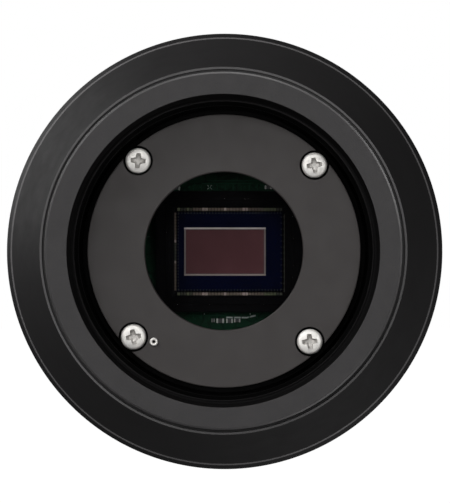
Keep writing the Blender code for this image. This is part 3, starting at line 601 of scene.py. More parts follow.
def make_cross_screw(name, node, x, z, top, sign, head_r, head_h, shank_r, length, turn):
    """A pan-head screw with a rounded crown, a tapered cross recess and a threaded shank."""
    under = top + sign * head_h
    tip = under + sign * length
    corners = [
        (0, top, 0), (head_r * 0.55, top + sign * 0.01, 0.3),
        (head_r * 0.9, top + sign * head_h * 0.16, 0.35),
        (head_r, top + sign * head_h * 0.42, 0.25), (head_r, under, 0.08), (shank_r, under, 0.03),
    ]
    profile = soften(corners, 4, closed=False)
    turns = int(length / 0.4)
    for k in range(turns):
        start = under + sign * (0.15 + 0.4 * k)
        profile += [(shank_r, start), (shank_r - 0.18, start + sign * 0.2)]
    profile += [(shank_r * 0.6, tip), (0, tip)]
    bm = bmesh.new()
    add_lathe(bm, profile, 96, (x, z))
    obj = piece(name, bm, "zinc", replaces=[node], slot="zinc_steel")
    cutter = bmesh.new()
    phillips_cutter(cutter, x, z, top, sign, head_r * 0.6, head_r * 0.225, head_h * 0.7, turn)
    cut(obj, cutter)
    # Faces deep in the cross recess get the darker zinc: painted shade.
    obj.data.materials.append(MATERIALS["recess"])
    for face in obj.data.polygons:
        middle = face.center / MM
        deep = sign * (middle.y - top) > head_h * 0.06
        if deep and math.hypot(middle.x - x, middle.z - z) < head_r * 0.62 and sign * (middle.y - under) < 0:
            face.material_index = 1


def make_window_plate():
    corners = [
        (19.41, 9.0, 0.1), (19.41, 7.0, 0.14), (11.36, 7.0, 0.05), (11.22, 7.14, 0.05), (11.22, 9.0, 0.1),
    ]
    bm = bmesh.new()
    add_lathe(bm, soften(corners, 3), FINE)
    obj = piece(
        "window_plate_turned", bm, ["plate", "deep"], replaces=["window_plate"],
        slot="plate_anodised_aluminium"
    )
    holes = bmesh.new()
    for degrees in CORNERS:
        centre = polar(PLATE_SCREW_RADIUS, degrees + PLATE_TURN)
        add_lathe(holes, [(0, 6.0), (2.1, 6.0), (2.1, 8.1), (1.2, 8.1), (1.2, 10.0), (0, 10.0)], 96, centre)
    add_lathe(
        holes, [(0, 6.0), (0.62, 6.0), (0.62, 7.6), (0.5, 7.6), (0.5, 10.0), (0, 10.0)], 40,
        EYELET
    )
    cut(obj, holes)
    # The window hole's wall and the plate's back get the near-black look: painted shade.
    for face in obj.data.polygons:
        middle = face.center / MM
        if middle.y > 7.25:
            face.material_index = 1
    turns = (0.14, -0.09, 0.17, 0.08)
    for number, degrees in enumerate(CORNERS):
        x, z = polar(PLATE_SCREW_RADIUS, degrees + PLATE_TURN)
        make_cross_screw(
            f"plate_screw_{number + 1}_cut", f"plate_screw_{number + 1}", x, z, 6.85, 1, 1.8, 0.95, 0.95,
            4.6, turns[number]
        )
    bm = bmesh.new()
    tube = [
        (0.2, 8.9, 0), (0.2, 6.6, 0.08), (0.32, 6.46, 0.08), (0.52, 6.48, 0.08), (0.6, 6.62, 0.06),
        (0.56, 6.78, 0.04),
        (0.36, 6.82, 0.02), (0.36, 8.9, 0),
    ]
    add_lathe(bm, soften(tube, 3), 64, EYELET)
    piece("vent_eyelet_rolled", bm, "zinc", replaces=["vent_eyelet"], slot="zinc_steel")


def make_window():
    bm = bmesh.new()
    add_lathe(bm, soften([(0, 9.3, 0), (15.7, 9.3, 0.2), (15.7, 11.3, 0.2), (0, 11.3, 0)], 2), MEDIUM)
    piece("window_glass_polished", bm, "glass", replaces=["window_glass"], slot="coated_glass")


# ---------------------------------------------------------------- sensor

PACKAGE_X, DIE_X = 0.65, 0.69
ACTIVE_HALF = (5.59, 3.19)
GUARD = 0.27


def make_sensor():
    bm = bmesh.new()
    low, high = (PACKAGE_X - 10.55, 17.2, -8.7), (PACKAGE_X + 10.55, 20.2, 8.7)
    add_block(bm, low, high, 0.18, 2)
    obj = piece("sensor_package_moulded", bm, "ceramic", replaces=["sensor_package"], slot="package_ceramic")
    hollow = bmesh.new()
    add_block(hollow, (DIE_X - 8.015, 16.0, -6.395), (DIE_X + 8.015, 18.05, 6.395))
    cut(obj, hollow)
    well = bmesh.new()
    add_block(well, (DIE_X - 7.64, 17.0, -5.76), (DIE_X + 7.64, 18.6, 5.76))
    cut(obj, well)
    bead = bmesh.new()
    add_block(bead, (DIE_X - 9.1, 16.92, -7.5), (DIE_X + 9.1, 17.19, 7.5), 0.08, 2)
    bead_obj = piece("cover_glass_bead", bead, "ceramic", slot="package_ceramic")
    gap = bmesh.new()
    add_block(gap, (DIE_X - 8.25, 16.5, -6.65), (DIE_X + 8.25, 17.6, 6.65))
    cut(bead_obj, gap)
    bm = bmesh.new()
    add_block(bm, (DIE_X - 7.555, 17.5, -5.67), (DIE_X + 7.555, 18.3, 5.67), 0.03, 1)
    piece("sensor_die_sawn", bm, "die", replaces=["sensor_die"], slot="sensor_silicon")
    bm = bmesh.new()
    w, h = ACTIVE_HALF
    add_block(bm, (-w, 17.485, -h), (w, 17.495, h), 0.003, 1)
    piece("sensor_pixel_array", bm, "pixels", slot="sensor_silicon")
    bm = bmesh.new()
    # The top strip takes the lighter copy and the side strips the darker copy: painted highlight and painted
    # shade.
    add_block(bm, (-w - GUARD, 17.47, h + 0.02), (w + GUARD, 17.49, h + GUARD), 0.005, 1, material_index=1)
    add_block(bm, (-w - GUARD, 17.47, -h - GUARD), (w + GUARD, 17.49, -h - 0.02), 0.005, 1)
    add_block(bm, (-w - GUARD, 17.47, -h), (-w - 0.02, 17.49, h), 0.005, 1, material_index=2)
    add_block(bm, (w + 0.02, 17.47, -h), (w + GUARD, 17.49, h), 0.005, 1, material_index=2)
    piece("sensor_guard_ring", bm, ["guard", "guard_top_painted_highlight", "guard_side_painted_shade"], slot="sensor_silicon")
    make_bonding()
    bm = bmesh.new()
    add_block(bm, (DIE_X - 9.2, 16.3, -7.6), (DIE_X + 9.2, 16.9, 7.6), 0.08, 2)
    piece("sensor_cover_polished", bm, "cover_glass", replaces=["sensor_cover_glass"], slot="coated_glass")


BRIGHT_PADS = (-2.9, 0.1, 2.9)


def make_bonding():
    """Gold fingers on the package's ledge, pads on the die's rim, and a fine wire between each pair."""
    pads = bmesh.new()
    wires = bmesh.new()

    def bond(outer, inner, wide, tall, look=0):
        (x0, z0), (x1, z1) = outer, inner
        add_block(
            pads, (x0 - wide, 18.0, z0 - tall), (x0 + wide, 18.04, z0 + tall), 0.01, 1,
            material_index=look
        )
        add_block(
            pads, (x1 - 0.07, 17.47, z1 - 0.07), (x1 + 0.07, 17.495, z1 + 0.07), 0.008, 1,
            material_index=3
        )
        start, end = Vector((x0, 18.03, z0)), Vector((x1, 17.48, z1))
        peak = (start + end) / 2 + Vector((0, -0.42, 0))
        add_wire(
            wires, [start.lerp(peak, t).lerp(peak.lerp(end, t), t) for t in [k / 6 for k in range(7)]],
            0.016
        )

    count = 34
    for k in range(count):
        x = DIE_X - 7.35 + 14.7 * k / (count - 1)
        look = 0
        if min(abs(x - spot) for spot in BRIGHT_PADS) < 0.3:
            look = 1
        elif x > 5.5:
            look = 2 if x < 7.2 else 3
        elif x < -4.6:
            look = 3 if k % 3 else 2
        for side in (-1, 1):
            bond((x, side * 6.08), (x * 0.995, side * 5.5), 0.19, 0.2, look)
    count = 26
    for k in range(count):
        z = -5.4 + 10.8 * k / (count - 1)
        look = 1 if k in (9, 16) else 3 if 9 < k < 16 else 0
        bond((DIE_X - 7.83, z), (DIE_X - 7.38, z), 0.12, 0.2, look)
    for k in range(0, count, 2):
        z = -5.4 + 10.8 * k / (count - 1)
        bond((DIE_X + 7.83, z), (DIE_X + 7.38, z), 0.07, 0.4, 3)
    piece("bond_fingers", pads, ["gold", "bright_pad", "green_pad", "dim_pad"], slot="zinc_steel")
    piece("bond_wires", wires, "dim_pad", slot="zinc_steel", sharp=math.radians(60))


def add_wire(bm, points, radius, sides=6):
    """A closed round tube through the points."""
    rings = []
    for i, point in enumerate(points):
        ahead = points[min(i + 1, len(points) - 1)] - points[max(i - 1, 0)]
        across = ahead.cross(Vector((0.31, 0.2, 0.93))).normalized()
        up = ahead.cross(across).normalized()
        ring = []
        for k in range(sides):
            a = TAU * k / sides
            ring.append(point + across * radius * math.cos(a) + up * radius * math.sin(a))
        rings.append(ring)
    add_loft(bm, rings)


def add_chip_part(bm, x, z, y, length, width, height, angle=0.0):
    """A surface-mount part: body in slot 0, soldered ends in slot 1."""
    turn = Matrix.Translation((x, y, z)) @ Matrix.Rotation(angle, 4, "Y")
    add_block(bm, (-length * 0.28, -height, -width / 2), (length * 0.28, 0.0, width / 2), 0.03, 1, turn)
    for side in (-1, 1):
        low, high = sorted((side * length * 0.28, side * length * 0.5))
        add_block(bm, (low, -height * 1.05, -width * 0.52), (high, 0.0, width * 0.52), 0.06, 2, turn, 1)


def make_sensor_board():
    """The green board behind the sensor, with its small parts, tracks, vias and plain printed marks."""
    bm = bmesh.new()
    add_lathe(bm, soften([(0, 20.5, 0), (20.5, 20.5, 0.08), (20.5, 22.1, 0.08), (0, 22.1, 0)], 1), MEDIUM)
    obj = piece("sensor_board_etched", bm, "board", replaces=["sensor_board"], slot="circuit_board")
    holes = bmesh.new()
    add_block(holes, (-6.2, 19.0, -5.2), (6.2, 24.0, 5.2))
    for degrees in CORNERS:
        add_rod(holes, polar(BOARD_SCREW_RADIUS, degrees), 1.25, 19.0, 24.0, 32)
    cut(obj, holes)
    face = 20.49
    tracks = bmesh.new()
    for k in range(9):
        x = -4.6 + 1.15 * k
        add_block(tracks, (x - 0.07, face - 0.03, 8.85), (x + 0.07, face, 9.55 + 0.12 * (k % 3)), 0.01, 1)
        add_block(tracks, (x - 0.07, face - 0.03, -9.6 - 0.1 * (k % 2)), (x + 0.07, face, -8.85), 0.01, 1)
    for z, left, right in ((9.85, -3.4, 3.9), (10.25, -2.6, 4.6), (-9.15, -5.2, 0.6)):
        add_block(tracks, (left, face - 0.03, z - 0.06), (right, face, z + 0.06), 0.01, 1)
    for side in (-1, 1):
        turn = Matrix.Translation((-2.0, face, 9.2)) @ Matrix.Rotation(side * 0.7, 4, "Y")
        add_block(tracks, (-0.5, -0.03, -0.06), (0.5, 0.0, 0.06), 0.01, 1, turn)
    piece("board_tracks", tracks, "track", slot="circuit_board")
    vias = bmesh.new()
    for k in range(14):
        x = -5.2 + 0.8 * k
        for z in (9.35 + 0.3 * (k % 2), -9.95 + 0.25 * (k % 3)):
            add_lathe(
                vias, [(0.07, face - 0.02), (0.15, face - 0.02), (0.15, face), (0.07, face)], 16, (x, z)
            )
    piece("board_vias", vias, "track", slot="circuit_board")
    parts = bmesh.new()
    spots = [
        (-1.75, -9.9, 0.42, 0.5, 0.0), (-0.72, -9.95, 1.1, 0.62, 0.0), (0.62, -9.95, 0.95, 0.62, 0.0),
        (1.72, -9.9, 0.9, 0.5, 0.0), (-7.0, 9.2, 1.0, 0.5, 0.2), (6.2, 9.3, 1.0, 0.5, 0.0),
    ]
    for degrees in range(20, 360, 20):
        if abs(math.sin(math.radians(degrees))) < 0.9:
            x, z = polar(13.6 + (degrees % 40) / 20, degrees)
            spots.append((x, z, 1.6, 0.8, math.radians(degrees)))
    for x, z, length, width, angle in spots:
        add_chip_part(parts, x, z, face, length, width, 0.35, angle)
    piece("board_parts", parts, ["resistor", "solder"], slot="chip_epoxy")
    marks = bmesh.new()
    line = [(0.2, -9.46), (3.1, -9.5), (4.35, -9.2)]
    for (x0, z0), (x1, z1) in zip(line, line[1:]):
        length = math.hypot(x1 - x0, z1 - z0)
        turn = Matrix.Translation(((x0 + x1) / 2, face, (z0 + z1) / 2)) @ Matrix.Rotation(
            -math.atan2(z1 - z0, x1 - x0), 4, "Y"
        )
        add_block(marks, (-length / 2 - 0.03, -0.02, -0.1), (length / 2 + 0.03, 0.0, 0.1), 0.008, 1, turn)
    for x in (-3.0, 2.3, 3.6):
        add_block(marks, (x - 0.07, face - 0.02, -9.05), (x + 0.07, face, -8.9), 0.008, 1)
    for side in (-1, 1):
        turn = Matrix.Translation((-2.25, face, 9.3)) @ Matrix.Rotation(side * 0.75, 4, "Y")
        add_block(marks, (-0.42, -0.02, -0.05), (0.42, 0.0, 0.05), 0.008, 1, turn)
    piece("board_printed_marks", marks, "silk", slot="circuit_board")


# ---------------------------------------------------------------- body and rear

VENTS, VENT_HALF_WIDTH = 24, 1.7
VENT_FRONT, VENT_REAR = 39.7, 49.3


def make_rear_shell():
    corners = [
        (31.0, 76.0, 0.12), (31.0, 30.6, 0.1), (30.75, 30.3, 0.1), (29.0, 30.3, 0.08), (29.0, 76.0, 0.08),
    ]
    bm = bmesh.new()
    add_lathe(bm, soften(corners, 2), 240)
    obj = piece("rear_shell_milled", bm, "shell", replaces=["rear_shell"], slot="anodised_aluminium")
    cutter = bmesh.new()
    for number in range(VENTS):
        turn = Matrix.Rotation(TAU * (number + 0.5) / VENTS, 4, "Y")
        outline = []
        for k in range(13):
            a = math.pi * k / 12
            outline.append((VENT_HALF_WIDTH * math.cos(a), VENT_REAR + VENT_HALF_WIDTH * math.sin(a)))
        for k in range(13):
            a = math.pi + math.pi * k / 12
            outline.append((VENT_HALF_WIDTH * math.cos(a), VENT_FRONT + VENT_HALF_WIDTH * math.sin(a)))
        sections = []
        for height, grow in ((27.5, 0.0), (30.72, 0.0), (31.4, 0.68)):
            ring = []
            for x, y in outline:
                middle = VENT_REAR if y > (VENT_FRONT + VENT_REAR) / 2 else VENT_FRONT
                away = Vector((x, y - middle)).normalized() * grow
                ring.append(turn @ Vector((x + away.x, y + away.y, height)))
            sections.append(ring)
        add_loft(cutter, sections)
    cut(obj, cutter)
    pockets = bmesh.new()
    for degrees in SHELL_SCREWS:
        turn = Matrix.Rotation(-math.radians(degrees), 4, "Y")
        made = bmesh.new()
        add_lathe(
            made,
            [(0, 28.0), (1.15, 28.0), (1.15, 29.9), (2.05, 29.9), (2.05, 30.75), (2.5, 31.4), (0, 31.4)],
            48, (SHELL_SCREW_Y, 0.0), "X",
        )
        bmesh.ops.transform(made, matrix=turn, verts=made.verts)
        scratch = bpy.data.meshes.new("scratch")
        made.to_mesh(scratch)
        made.free()
        pockets.from_mesh(scratch)
        bpy.data.meshes.remove(scratch)
    cut(obj, pockets)
    lugs = bmesh.new()
    for degrees in CORNERS:
        add_rod(lugs, polar(26.3, degrees), 2.6, 56.6, 75.95, 40)
    piece("shell_lugs", lugs, "shell", slot="anodised_aluminium")
    for number, degrees in enumerate(SHELL_SCREWS):
        make_shell_screw(number + 1, degrees)


def make_shell_screw(number, degrees):
    """A low socket-head screw that holds the shell to the heat sink."""
    bm = bmesh.new()
    profile = soften([
        (0, 30.55, 0), (0.8, 30.55, 0), (0.8, 30.9, 0.05), (1.65, 30.9, 0.25), (1.8, 30.6, 0.2),
        (1.8, 30.2, 0.05),
        (0.95, 30.2, 0.02), (0.95, 25.2, 0.2), (0, 25.2, 0),
    ], 3)
    add_lathe(bm, profile, 6 * 12, (SHELL_SCREW_Y, 0.0), "X")
    for vertex in bm.verts:
        radius = math.hypot(vertex.co.y - SHELL_SCREW_Y, vertex.co.z)
        if 0.7 < radius < 0.85 and vertex.co.x > 30.4:
            angle = math.atan2(vertex.co.z, vertex.co.y - SHELL_SCREW_Y) % (TAU / 6) - TAU / 12
            vertex.co.y = SHELL_SCREW_Y + (vertex.co.y - SHELL_SCREW_Y) * 0.87 / math.cos(angle)
            vertex.co.z = vertex.co.z * 0.87 / math.cos(angle)
    bmesh.ops.transform(bm, matrix=Matrix.Rotation(-math.radians(degrees), 4, "Y"), verts=bm.verts)
    piece(f"shell_screw_{number}_socket", bm, "zinc", replaces=[f"shell_screw_{number}"], slot="zinc_steel")


def add_sector(bm, inner, outer, start, end, low, high, steps=24):
    angles = [low + (high - low) * i / steps for i in range(steps + 1)]
    outline = [(outer * math.cos(a), outer * math.sin(a)) for a in angles]
    outline += [(inner * math.cos(a), inner * math.sin(a)) for a in reversed(angles)]
    add_loft(bm, [[(x, start, z) for x, z in outline], [(x, end, z) for x, z in outline]])


USB3 = ((-6.0, -27.4), (6.0, -17.0))
HUB_TOP = ((-6.55, 19.3), (6.55, 25.1))
HUB_SIDE = ((19.3, -6.55), (25.1, 6.55))
GRILLE = ((3.2, 5.4), (6.8, 9.0), (10.4, 12.8))


def make_rear_cover():
    bm = bmesh.new()
    add_lathe(bm, soften([(0, 76.3, 0), (31.0, 76.3, 0.1), (31.0, 78.3, 0.75), (0, 78.3, 0)], 5), FINE)
    obj = piece("rear_cover_milled", bm, "cover", replaces=["rear_cover"], slot="anodised_aluminium")
    cutter = bmesh.new()
    for inner, outer in GRILLE:
        for number in range(4):
            trim = 0.8 / inner
            add_sector(
                cutter, inner, outer, 75.0, 80.0, TAU * (number + 0.5) / 4 + trim,
                TAU * (number + 1.5) / 4 - trim
            )
    for low, high in (USB3, HUB_TOP, HUB_SIDE):
        add_block(cutter, (low[0] - 0.28, 75.0, low[1] - 0.28), (high[0] + 0.28, 80.0, high[1] + 0.28))
    add_lathe(
        cutter, [(0, 75.0), (4.15, 75.0), (4.15, 77.95), (4.6, 78.4), (4.6, 80.0), (0, 80.0)], 96,
        JACK
    )
    for degrees in CORNERS:
        centre = polar(REAR_SCREW_RADIUS, degrees)
        add_lathe(
            cutter,
            [
                (0, 75.0), (1.2, 75.0), (1.2, 77.2), (2.1, 77.2), (2.1, 78.1), (2.4, 78.5), (2.4, 80.0),
                (0, 80.0)
            ],
            64, centre
        )
    for spot in FAN_HOLES:
        add_rod(cutter, spot, 1.45, 75.0, 80.0, 40)
    cut(obj, cutter)
    for number, degrees in enumerate(CORNERS):
        x, z = polar(REAR_SCREW_RADIUS, degrees)
        make_cross_screw(
            f"rear_screw_{number + 1}_cut", f"rear_screw_{number + 1}", x, z, 78.4, -1, 1.8, 0.9, 0.95,
            6.0, 0.3 * number
        )
    for number, (x, z) in enumerate(FAN_HOLES, 1):
        make_cross_screw(
            f"fan_screw_{number}_cut", f"fan_screw_{number}", x, z, 79.9, -1, 2.1, 1.3, 1.2, 10.0,
            0.4 * number
        )


def make_fan():
    bm = bmesh.new()
    profile = []
    for cx, cz, start in ((12.2, 12.2, 0), (-12.2, 12.2, 90), (-12.2, -12.2, 180), (12.2, -12.2, 270)):
        for k in range(9):
            a = math.radians(start + 90 * k / 8)
            profile.append((cx + 2.8 * math.cos(a), cz + 2.8 * math.sin(a)))
    add_loft(bm, [[(x, y, z) for x, z in profile] for y in (65.7, 75.7)])
    frame_obj = piece("fan_frame_moulded", bm, "black_plastic", replaces=["fan_frame"], slot="black_plastic")
    cutter = bmesh.new()
    add_lathe(
        cutter,
        [
            (0, 64.0), (14.8, 64.0), (14.8, 65.6), (14.35, 67.0), (14.35, 74.4), (14.8, 75.8),
            (14.8, 77.0), (0, 77.0)
        ],
        MEDIUM
    )
    for spot in FAN_HOLES:
        add_rod(cutter, spot, 1.45, 64.0, 77.0, 32)
    cut(frame_obj, cutter)
    hub = bmesh.new()
    add_lathe(
        hub,
        soften(
            [
                (0.85, 75.4, 0), (0.85, 67.6, 0.05), (2.2, 67.6, 0.1), (2.2, 73.6, 0.1), (6.8, 73.6, 0.2),
                (6.8, 75.4, 0.3)
            ],
            2
        ),
        96
    )
    for number in range(4):
        turn = Matrix.Rotation(math.radians(20 + 90 * number), 4, "Y")
        add_block(hub, (6.2, 74.0, -0.7), (14.55, 75.3, 0.7), 0.2, 2, turn)
    piece("fan_hub_mount", hub, "black_plastic", slot="black_plastic")
    make_rotor()


def make_rotor():
    """The fan's cup with seven twisted, cambered blades."""
    bm = bmesh.new()
    cup = [
        (0, 66.3, 0), (6.6, 66.3, 0.5), (7.5, 67.0, 0.5), (7.5, 73.0, 0.1), (6.5, 73.0, 0.1),
        (6.5, 67.2, 0.2),
        (0.75, 67.2, 0.2), (0.75, 74.8, 0.1), (0, 74.8, 0),
    ]
    add_lathe(bm, soften(cup, 3), 96)
    for number in range(7):
        add_blade(bm, TAU * number / 7)
    piece(
        "fan_rotor_moulded", bm, "black_plastic", replaces=["fan_rotor"], slot="black_plastic",
        body="fan_rotor"
    )


def add_blade(bm, angle):
    """One blade as a closed skin: the chord turns flatter and grows longer from root to tip."""
    sections = []
    for i in range(8):
        t = i / 7
        radius = 7.35 + (13.7 - 7.35) * t
        pitch = math.radians(48 - 14 * t)
        chord = 6.6 + 0.8 * t
        sweep = 0.10 * t
        ring = []
        for side in (1, -1):
            for k in range(9):
                s = k / 8 if side == 1 else 1 - k / 8
                along = (s - 0.5) * chord
                camber = 0.55 * math.sin(math.pi * s)
                thick = 0.36 * math.sin(math.pi * min(max(s, 0.04), 0.96)) ** 0.5
                away = camber + side * thick
                across = along * math.cos(pitch) - away * math.sin(pitch)
                axial = along * math.sin(pitch) + away * math.cos(pitch)
                turn = angle + sweep + across / radius
                ring.append((radius * math.cos(turn), 69.8 + axial, radius * math.sin(turn)))
        sections.append(ring)
    add_loft(bm, sections)


def make_socket_shell(name, nodes, outline, wall, tongue, tongue_material, contacts, springs):
    """A folded metal socket, its plastic tongue and the contacts on it."""
    (x0, z0), (x1, z1) = outline
    bm = bmesh.new()
    add_block(bm, (x0, 56.4, z0), (x1, 78.0, z1), 0.3, 2)
    obj = piece(f"{name}_shell", bm, "nickel", replaces=[nodes[0]], slot="nickel_plate")
    hollow = bmesh.new()
    add_block(hollow, (x0 + wall, 68.0, z0 + wall), (x1 - wall, 79.0, z1 - wall), 0.15, 1)
    cut(obj, hollow)
    bm = bmesh.new()
    (tx0, tz0), (tx1, tz1) = tongue
    add_block(bm, (tx0, 68.2, tz0), (tx1, 77.4, tz1), 0.15, 2)
    back = 0.05
    add_block(
        bm, (x0 + wall + back, 68.02, z0 + wall + back), (x1 - wall - back, 68.9, z1 - wall - back), 0.05,
        1
    )
    for low, high in contacts:
        add_block(bm, low, high, 0.03, 1, material_index=1)
    piece(
        f"{name}_tongue", bm, [tongue_material, "contact"], replaces=[nodes[1]],
        slot=tongue_material if tongue_material == "blue_plastic" else "black_plastic"
    )
    if springs:
        bm = bmesh.new()
        for low, high in springs:
            add_block(bm, low, high, 0.05, 1)
        piece(f"{name}_springs", bm, "nickel", slot="nickel_plate")


def make_sockets():
    contacts = [((-2.1 + 1.2 * k, 69.5, -25.24), (-1.5 + 1.2 * k, 77.0, -25.16)) for k in range(4)]
    contacts += [((-2.1 + 0.92 * k, 69.5, -20.64), (-1.7 + 0.92 * k, 77.2, -20.56)) for k in range(5)]
    make_socket_shell(
        "usb3", ["usb3_socket", "usb3_socket_tongue"], USB3, 1.1, ((-2.8, -25.2), (2.8, -20.6)),
        "blue_plastic", contacts,
        [
            ((-1.2, 70.0, -26.28), (1.2, 77.0, -26.0)), ((-4.88, 70.0, -23.6), (-4.6, 77.0, -21.6)),
            ((4.6, 70.0, -23.6), (4.88, 77.0, -21.6))
        ],
    )
    contacts = [((-3.9 + 2.35 * k, 69.5, 22.08), (-2.9 + 2.35 * k, 77.0, 22.16)) for k in range(4)]
    make_socket_shell(
        "hub_top", ["usb_hub_1", "usb_hub_1_tongue"], HUB_TOP, 0.4, ((-5.4, 20.3), (5.4, 22.1)),
        "black_plastic", contacts,
        [((-3.4, 70.5, 24.3), (-1.9, 77.2, 24.6)), ((1.9, 70.5, 24.3), (3.4, 77.2, 24.6))],
    )
    contacts = [((22.08, 69.5, -3.9 + 2.35 * k), (22.16, 77.0, -2.9 + 2.35 * k)) for k in range(4)]
    make_socket_shell(
        "hub_side", ["usb_hub_2", "usb_hub_2_tongue"], HUB_SIDE, 0.4, ((20.3, -5.4), (22.1, 5.4)),
        "black_plastic", contacts,
        [((24.3, 70.5, -3.4), (24.6, 77.2, -1.9)), ((24.3, 70.5, 1.9), (24.6, 77.2, 3.4))],
    )
    bm = bmesh.new()
    jack = [
        (0, 56.4, 0), (5.0, 56.4, 0.3), (5.0, 75.9, 0.3), (3.9, 75.9, 0.05), (3.9, 78.0, 0.25),
        (2.9, 78.0, 0.25),
        (2.9, 68.0, 0.05), (0, 68.0, 0),
    ]
    add_lathe(bm, soften(jack, 3), 96, JACK)
    piece("dc_jack_moulded", bm, "black_plastic", replaces=["dc_jack"], slot="black_plastic")
    bm = bmesh.new()
    add_lathe(
        bm,
        soften([(0, 68.3, 0), (1.0, 68.3, 0.05), (1.0, 76.3, 0.5), (0.55, 77.0, 0.3), (0, 77.0, 0)], 3),
        64, JACK
    )
    piece("dc_pin_turned", bm, "nickel", replaces=["dc_pin"], slot="zinc_steel")


def make_plug():
    bm = bmesh.new()
    profile = soften([
        (4.5, 24.1, 0.2), (4.5, 28.7, 0.02), (6.2, 28.7, 0.05), (6.2, 29.8, 0.35), (0, 29.8, 0), (0, 27.4, 0),
        (3.5, 27.4, 0.1), (3.5, 24.1, 0.1),
    ], 4)
    add_lathe(bm, profile, 160, (PLUG_Y, 0.0), "X")
    obj = piece(
        "desiccant_plug_turned", bm, "plug", replaces=["desiccant_plug"], slot="anodised_aluminium",
        body="desiccant_plug"
    )
    slot = bmesh.new()
    add_lathe(slot, [(0, -0.6), (6.4, -0.6), (6.4, 0.6), (0, 0.6)], 96, (0.0, 0.0), "X")
    bmesh.ops.transform(
        slot, matrix=Matrix.Translation((34.2, PLUG_Y, 0)) @ Matrix.Rotation(math.pi / 2, 4, "Y"),
        verts=slot.verts
    )
    cut(obj, slot)


def dress_cad():
    """Gives every CAD node that still shows its own material."""
    looks = {
        "raw_aluminium": "raw", "zinc_steel": "zinc", "copper_wire": "copper", "cooler_ceramic": "alumina",
        "cooler_pellets": "pellet", "circuit_board": "board", "chip_epoxy": "chip", "insulation_foam": "foam",
        "seal_rubber": "rubber", "flex_polymer": "flex", "desiccant": "tablet",
    }
    slots = {entry["node"]: entry["material_slot"] for entry in frame["record"]["subparts"]}
    for name, obj in frame["nodes"].items():
        if obj.hide_render:
            continue
        look = MATERIALS[looks.get(slots.get(name), "shell")]
        for holder in obj.material_slots:
            holder.material = look


# ---------------------------------------------------------------- stage

def area_light(name, direction, distance, size, power):
    """A square soft light that faces the object from this direction."""
    data = bpy.data.lights.new(name, "AREA")
    data.shape = "SQUARE"
    data.size = size
    data.energy = power
    obj = bpy.data.objects.new(name, data)
    towards = Vector(direction).normalized()
    obj.location = towards * distance + Vector((0, 0.03, 0))
    obj.rotation_mode = "QUATERNION"
    obj.rotation_quaternion = (-towards).to_track_quat("-Z", "Y")
    bpy.context.scene.collection.objects.link(obj)
    return obj


LIGHTS = (
    ("key", (-0.565, -0.58, 0.595), 1.2, 0.8, 11.0, "all"),
    ("front_left", (-0.36, -0.93, 0.05), 1.4, 0.45, 4.3, "all"),
    ("front_right", (0.36, -0.93, 0.05), 1.4, 0.45, 4.3, "all"),
    ("front_top", (0.0, -0.93, 0.38), 1.4, 0.45, 4.3, "all"),
    ("low_right", (0.50, -0.22, -0.80), 1.3, 0.6, 6.0, "all"),
    ("rim_left", (-0.70, 0.55, 0.38), 1.3, 0.9, 1.9, "all"),
    ("rear_left", (-0.65, 0.75, 0.45), 1.2, 0.7, 13.0, "not_cone"),
    ("rear_right", (0.55, 0.8, 0.35), 1.3, 0.7, 10.0, "not_cone"),
    ("right_side", (1.0, 0.1, 0.45), 1.3, 0.7, 9.0, "not_cone"),
    ("overhead", (0.1, 0.25, 1.0), 1.3, 0.8, 9.0, "not_cone"),
)


def spare_the_cone(lights):
    """Keeps these lights off the front cone, as flags do in a studio."""
    lit = bpy.data.collections.new("lit_from_behind")
    bpy.context.scene.collection.children.link(lit)
    lit.objects.link(bpy.data.objects[CONE_PIECE])
    lit.collection_objects[0].light_linking.link_state = "EXCLUDE"
    for light in lights:
        light.light_linking.receiver_collection = lit


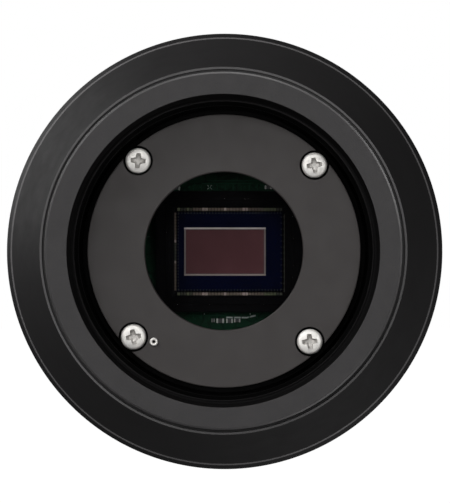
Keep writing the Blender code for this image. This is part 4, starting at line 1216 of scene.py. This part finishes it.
def make_stage():
    bm = bmesh.new()
    bmesh.ops.create_grid(bm, x_segments=2, y_segments=2, size=9.0)
    mesh = bpy.data.meshes.new("floor")
    bm.to_mesh(mesh)
    bm.free()
    floor = bpy.data.objects.new("floor", mesh)
    floor.location = (0, 0, -0.16)
    floor.scale = (20, 20, 1)
    material, tree, shader = new_material("pale_floor", (0.92, 0.92, 0.92), 0.8, 0.0, 0.1)
    shader.inputs["Emission Color"].default_value = (1.0, 1.0, 1.0, 1.0)
    shader.inputs["Emission Strength"].default_value = 1.0
    mesh.materials.append(material)
    bpy.context.scene.collection.objects.link(floor)
    floor.visible_diffuse = False
    floor.visible_glossy = False
    floor.visible_shadow = False
    world = bpy.data.worlds.new("studio")
    bpy.context.scene.world = world
    world.use_nodes = True
    tree = world.node_tree
    background = tree.nodes["Background"]
    path = tree.nodes.new("ShaderNodeLightPath")
    strength = tree.nodes.new("ShaderNodeMapRange")
    strength.inputs["To Min"].default_value = 0.03
    strength.inputs["To Max"].default_value = 1.0
    tree.links.new(path.outputs["Is Camera Ray"], strength.inputs["Value"])
    tree.links.new(strength.outputs["Result"], background.inputs["Strength"])
    background.inputs["Color"].default_value = (1.0, 1.0, 1.0, 1.0)
    flagged = []
    for name, direction, distance, size, power, reach in LIGHTS:
        light = area_light(name, direction, distance, size, power)
        if reach == "not_cone":
            flagged.append(light)
    spare_the_cone(flagged)
    bpy.context.scene.view_settings.view_transform = "Standard"


AZIMUTH, ELEVATION = math.radians(0.8), math.radians(-0.4)
CAMERA_DISTANCE = 900.0
FRAME_HEIGHT_MM = 70.89
AIM = Vector((0.252, 0.0, -0.11))


def make_camera():
    data = bpy.data.cameras.new("view")
    data.sensor_width = 36.0
    data.lens = 18.0 / (FRAME_HEIGHT_MM / 2 / CAMERA_DISTANCE)
    data.clip_start, data.clip_end = 0.05, 30.0
    obj = bpy.data.objects.new("view", data)
    back = Vector((
        math.sin(AZIMUTH) * math.cos(ELEVATION),
        -math.cos(AZIMUTH) * math.cos(ELEVATION),
        math.sin(ELEVATION),
    ))
    obj.location = (AIM + back * CAMERA_DISTANCE) * MM
    obj.rotation_mode = "QUATERNION"
    obj.rotation_quaternion = (-back).to_track_quat("-Z", "Y")
    bpy.context.scene.collection.objects.link(obj)
    bpy.context.scene.camera = obj


make_camera()
make_nose_ring()
make_front_housing()
make_window_plate()
make_window()
make_sensor()
make_sensor_board()
make_rear_shell()
make_rear_cover()
make_fan()
make_sockets()
make_plug()
dress_cad()
make_stage()
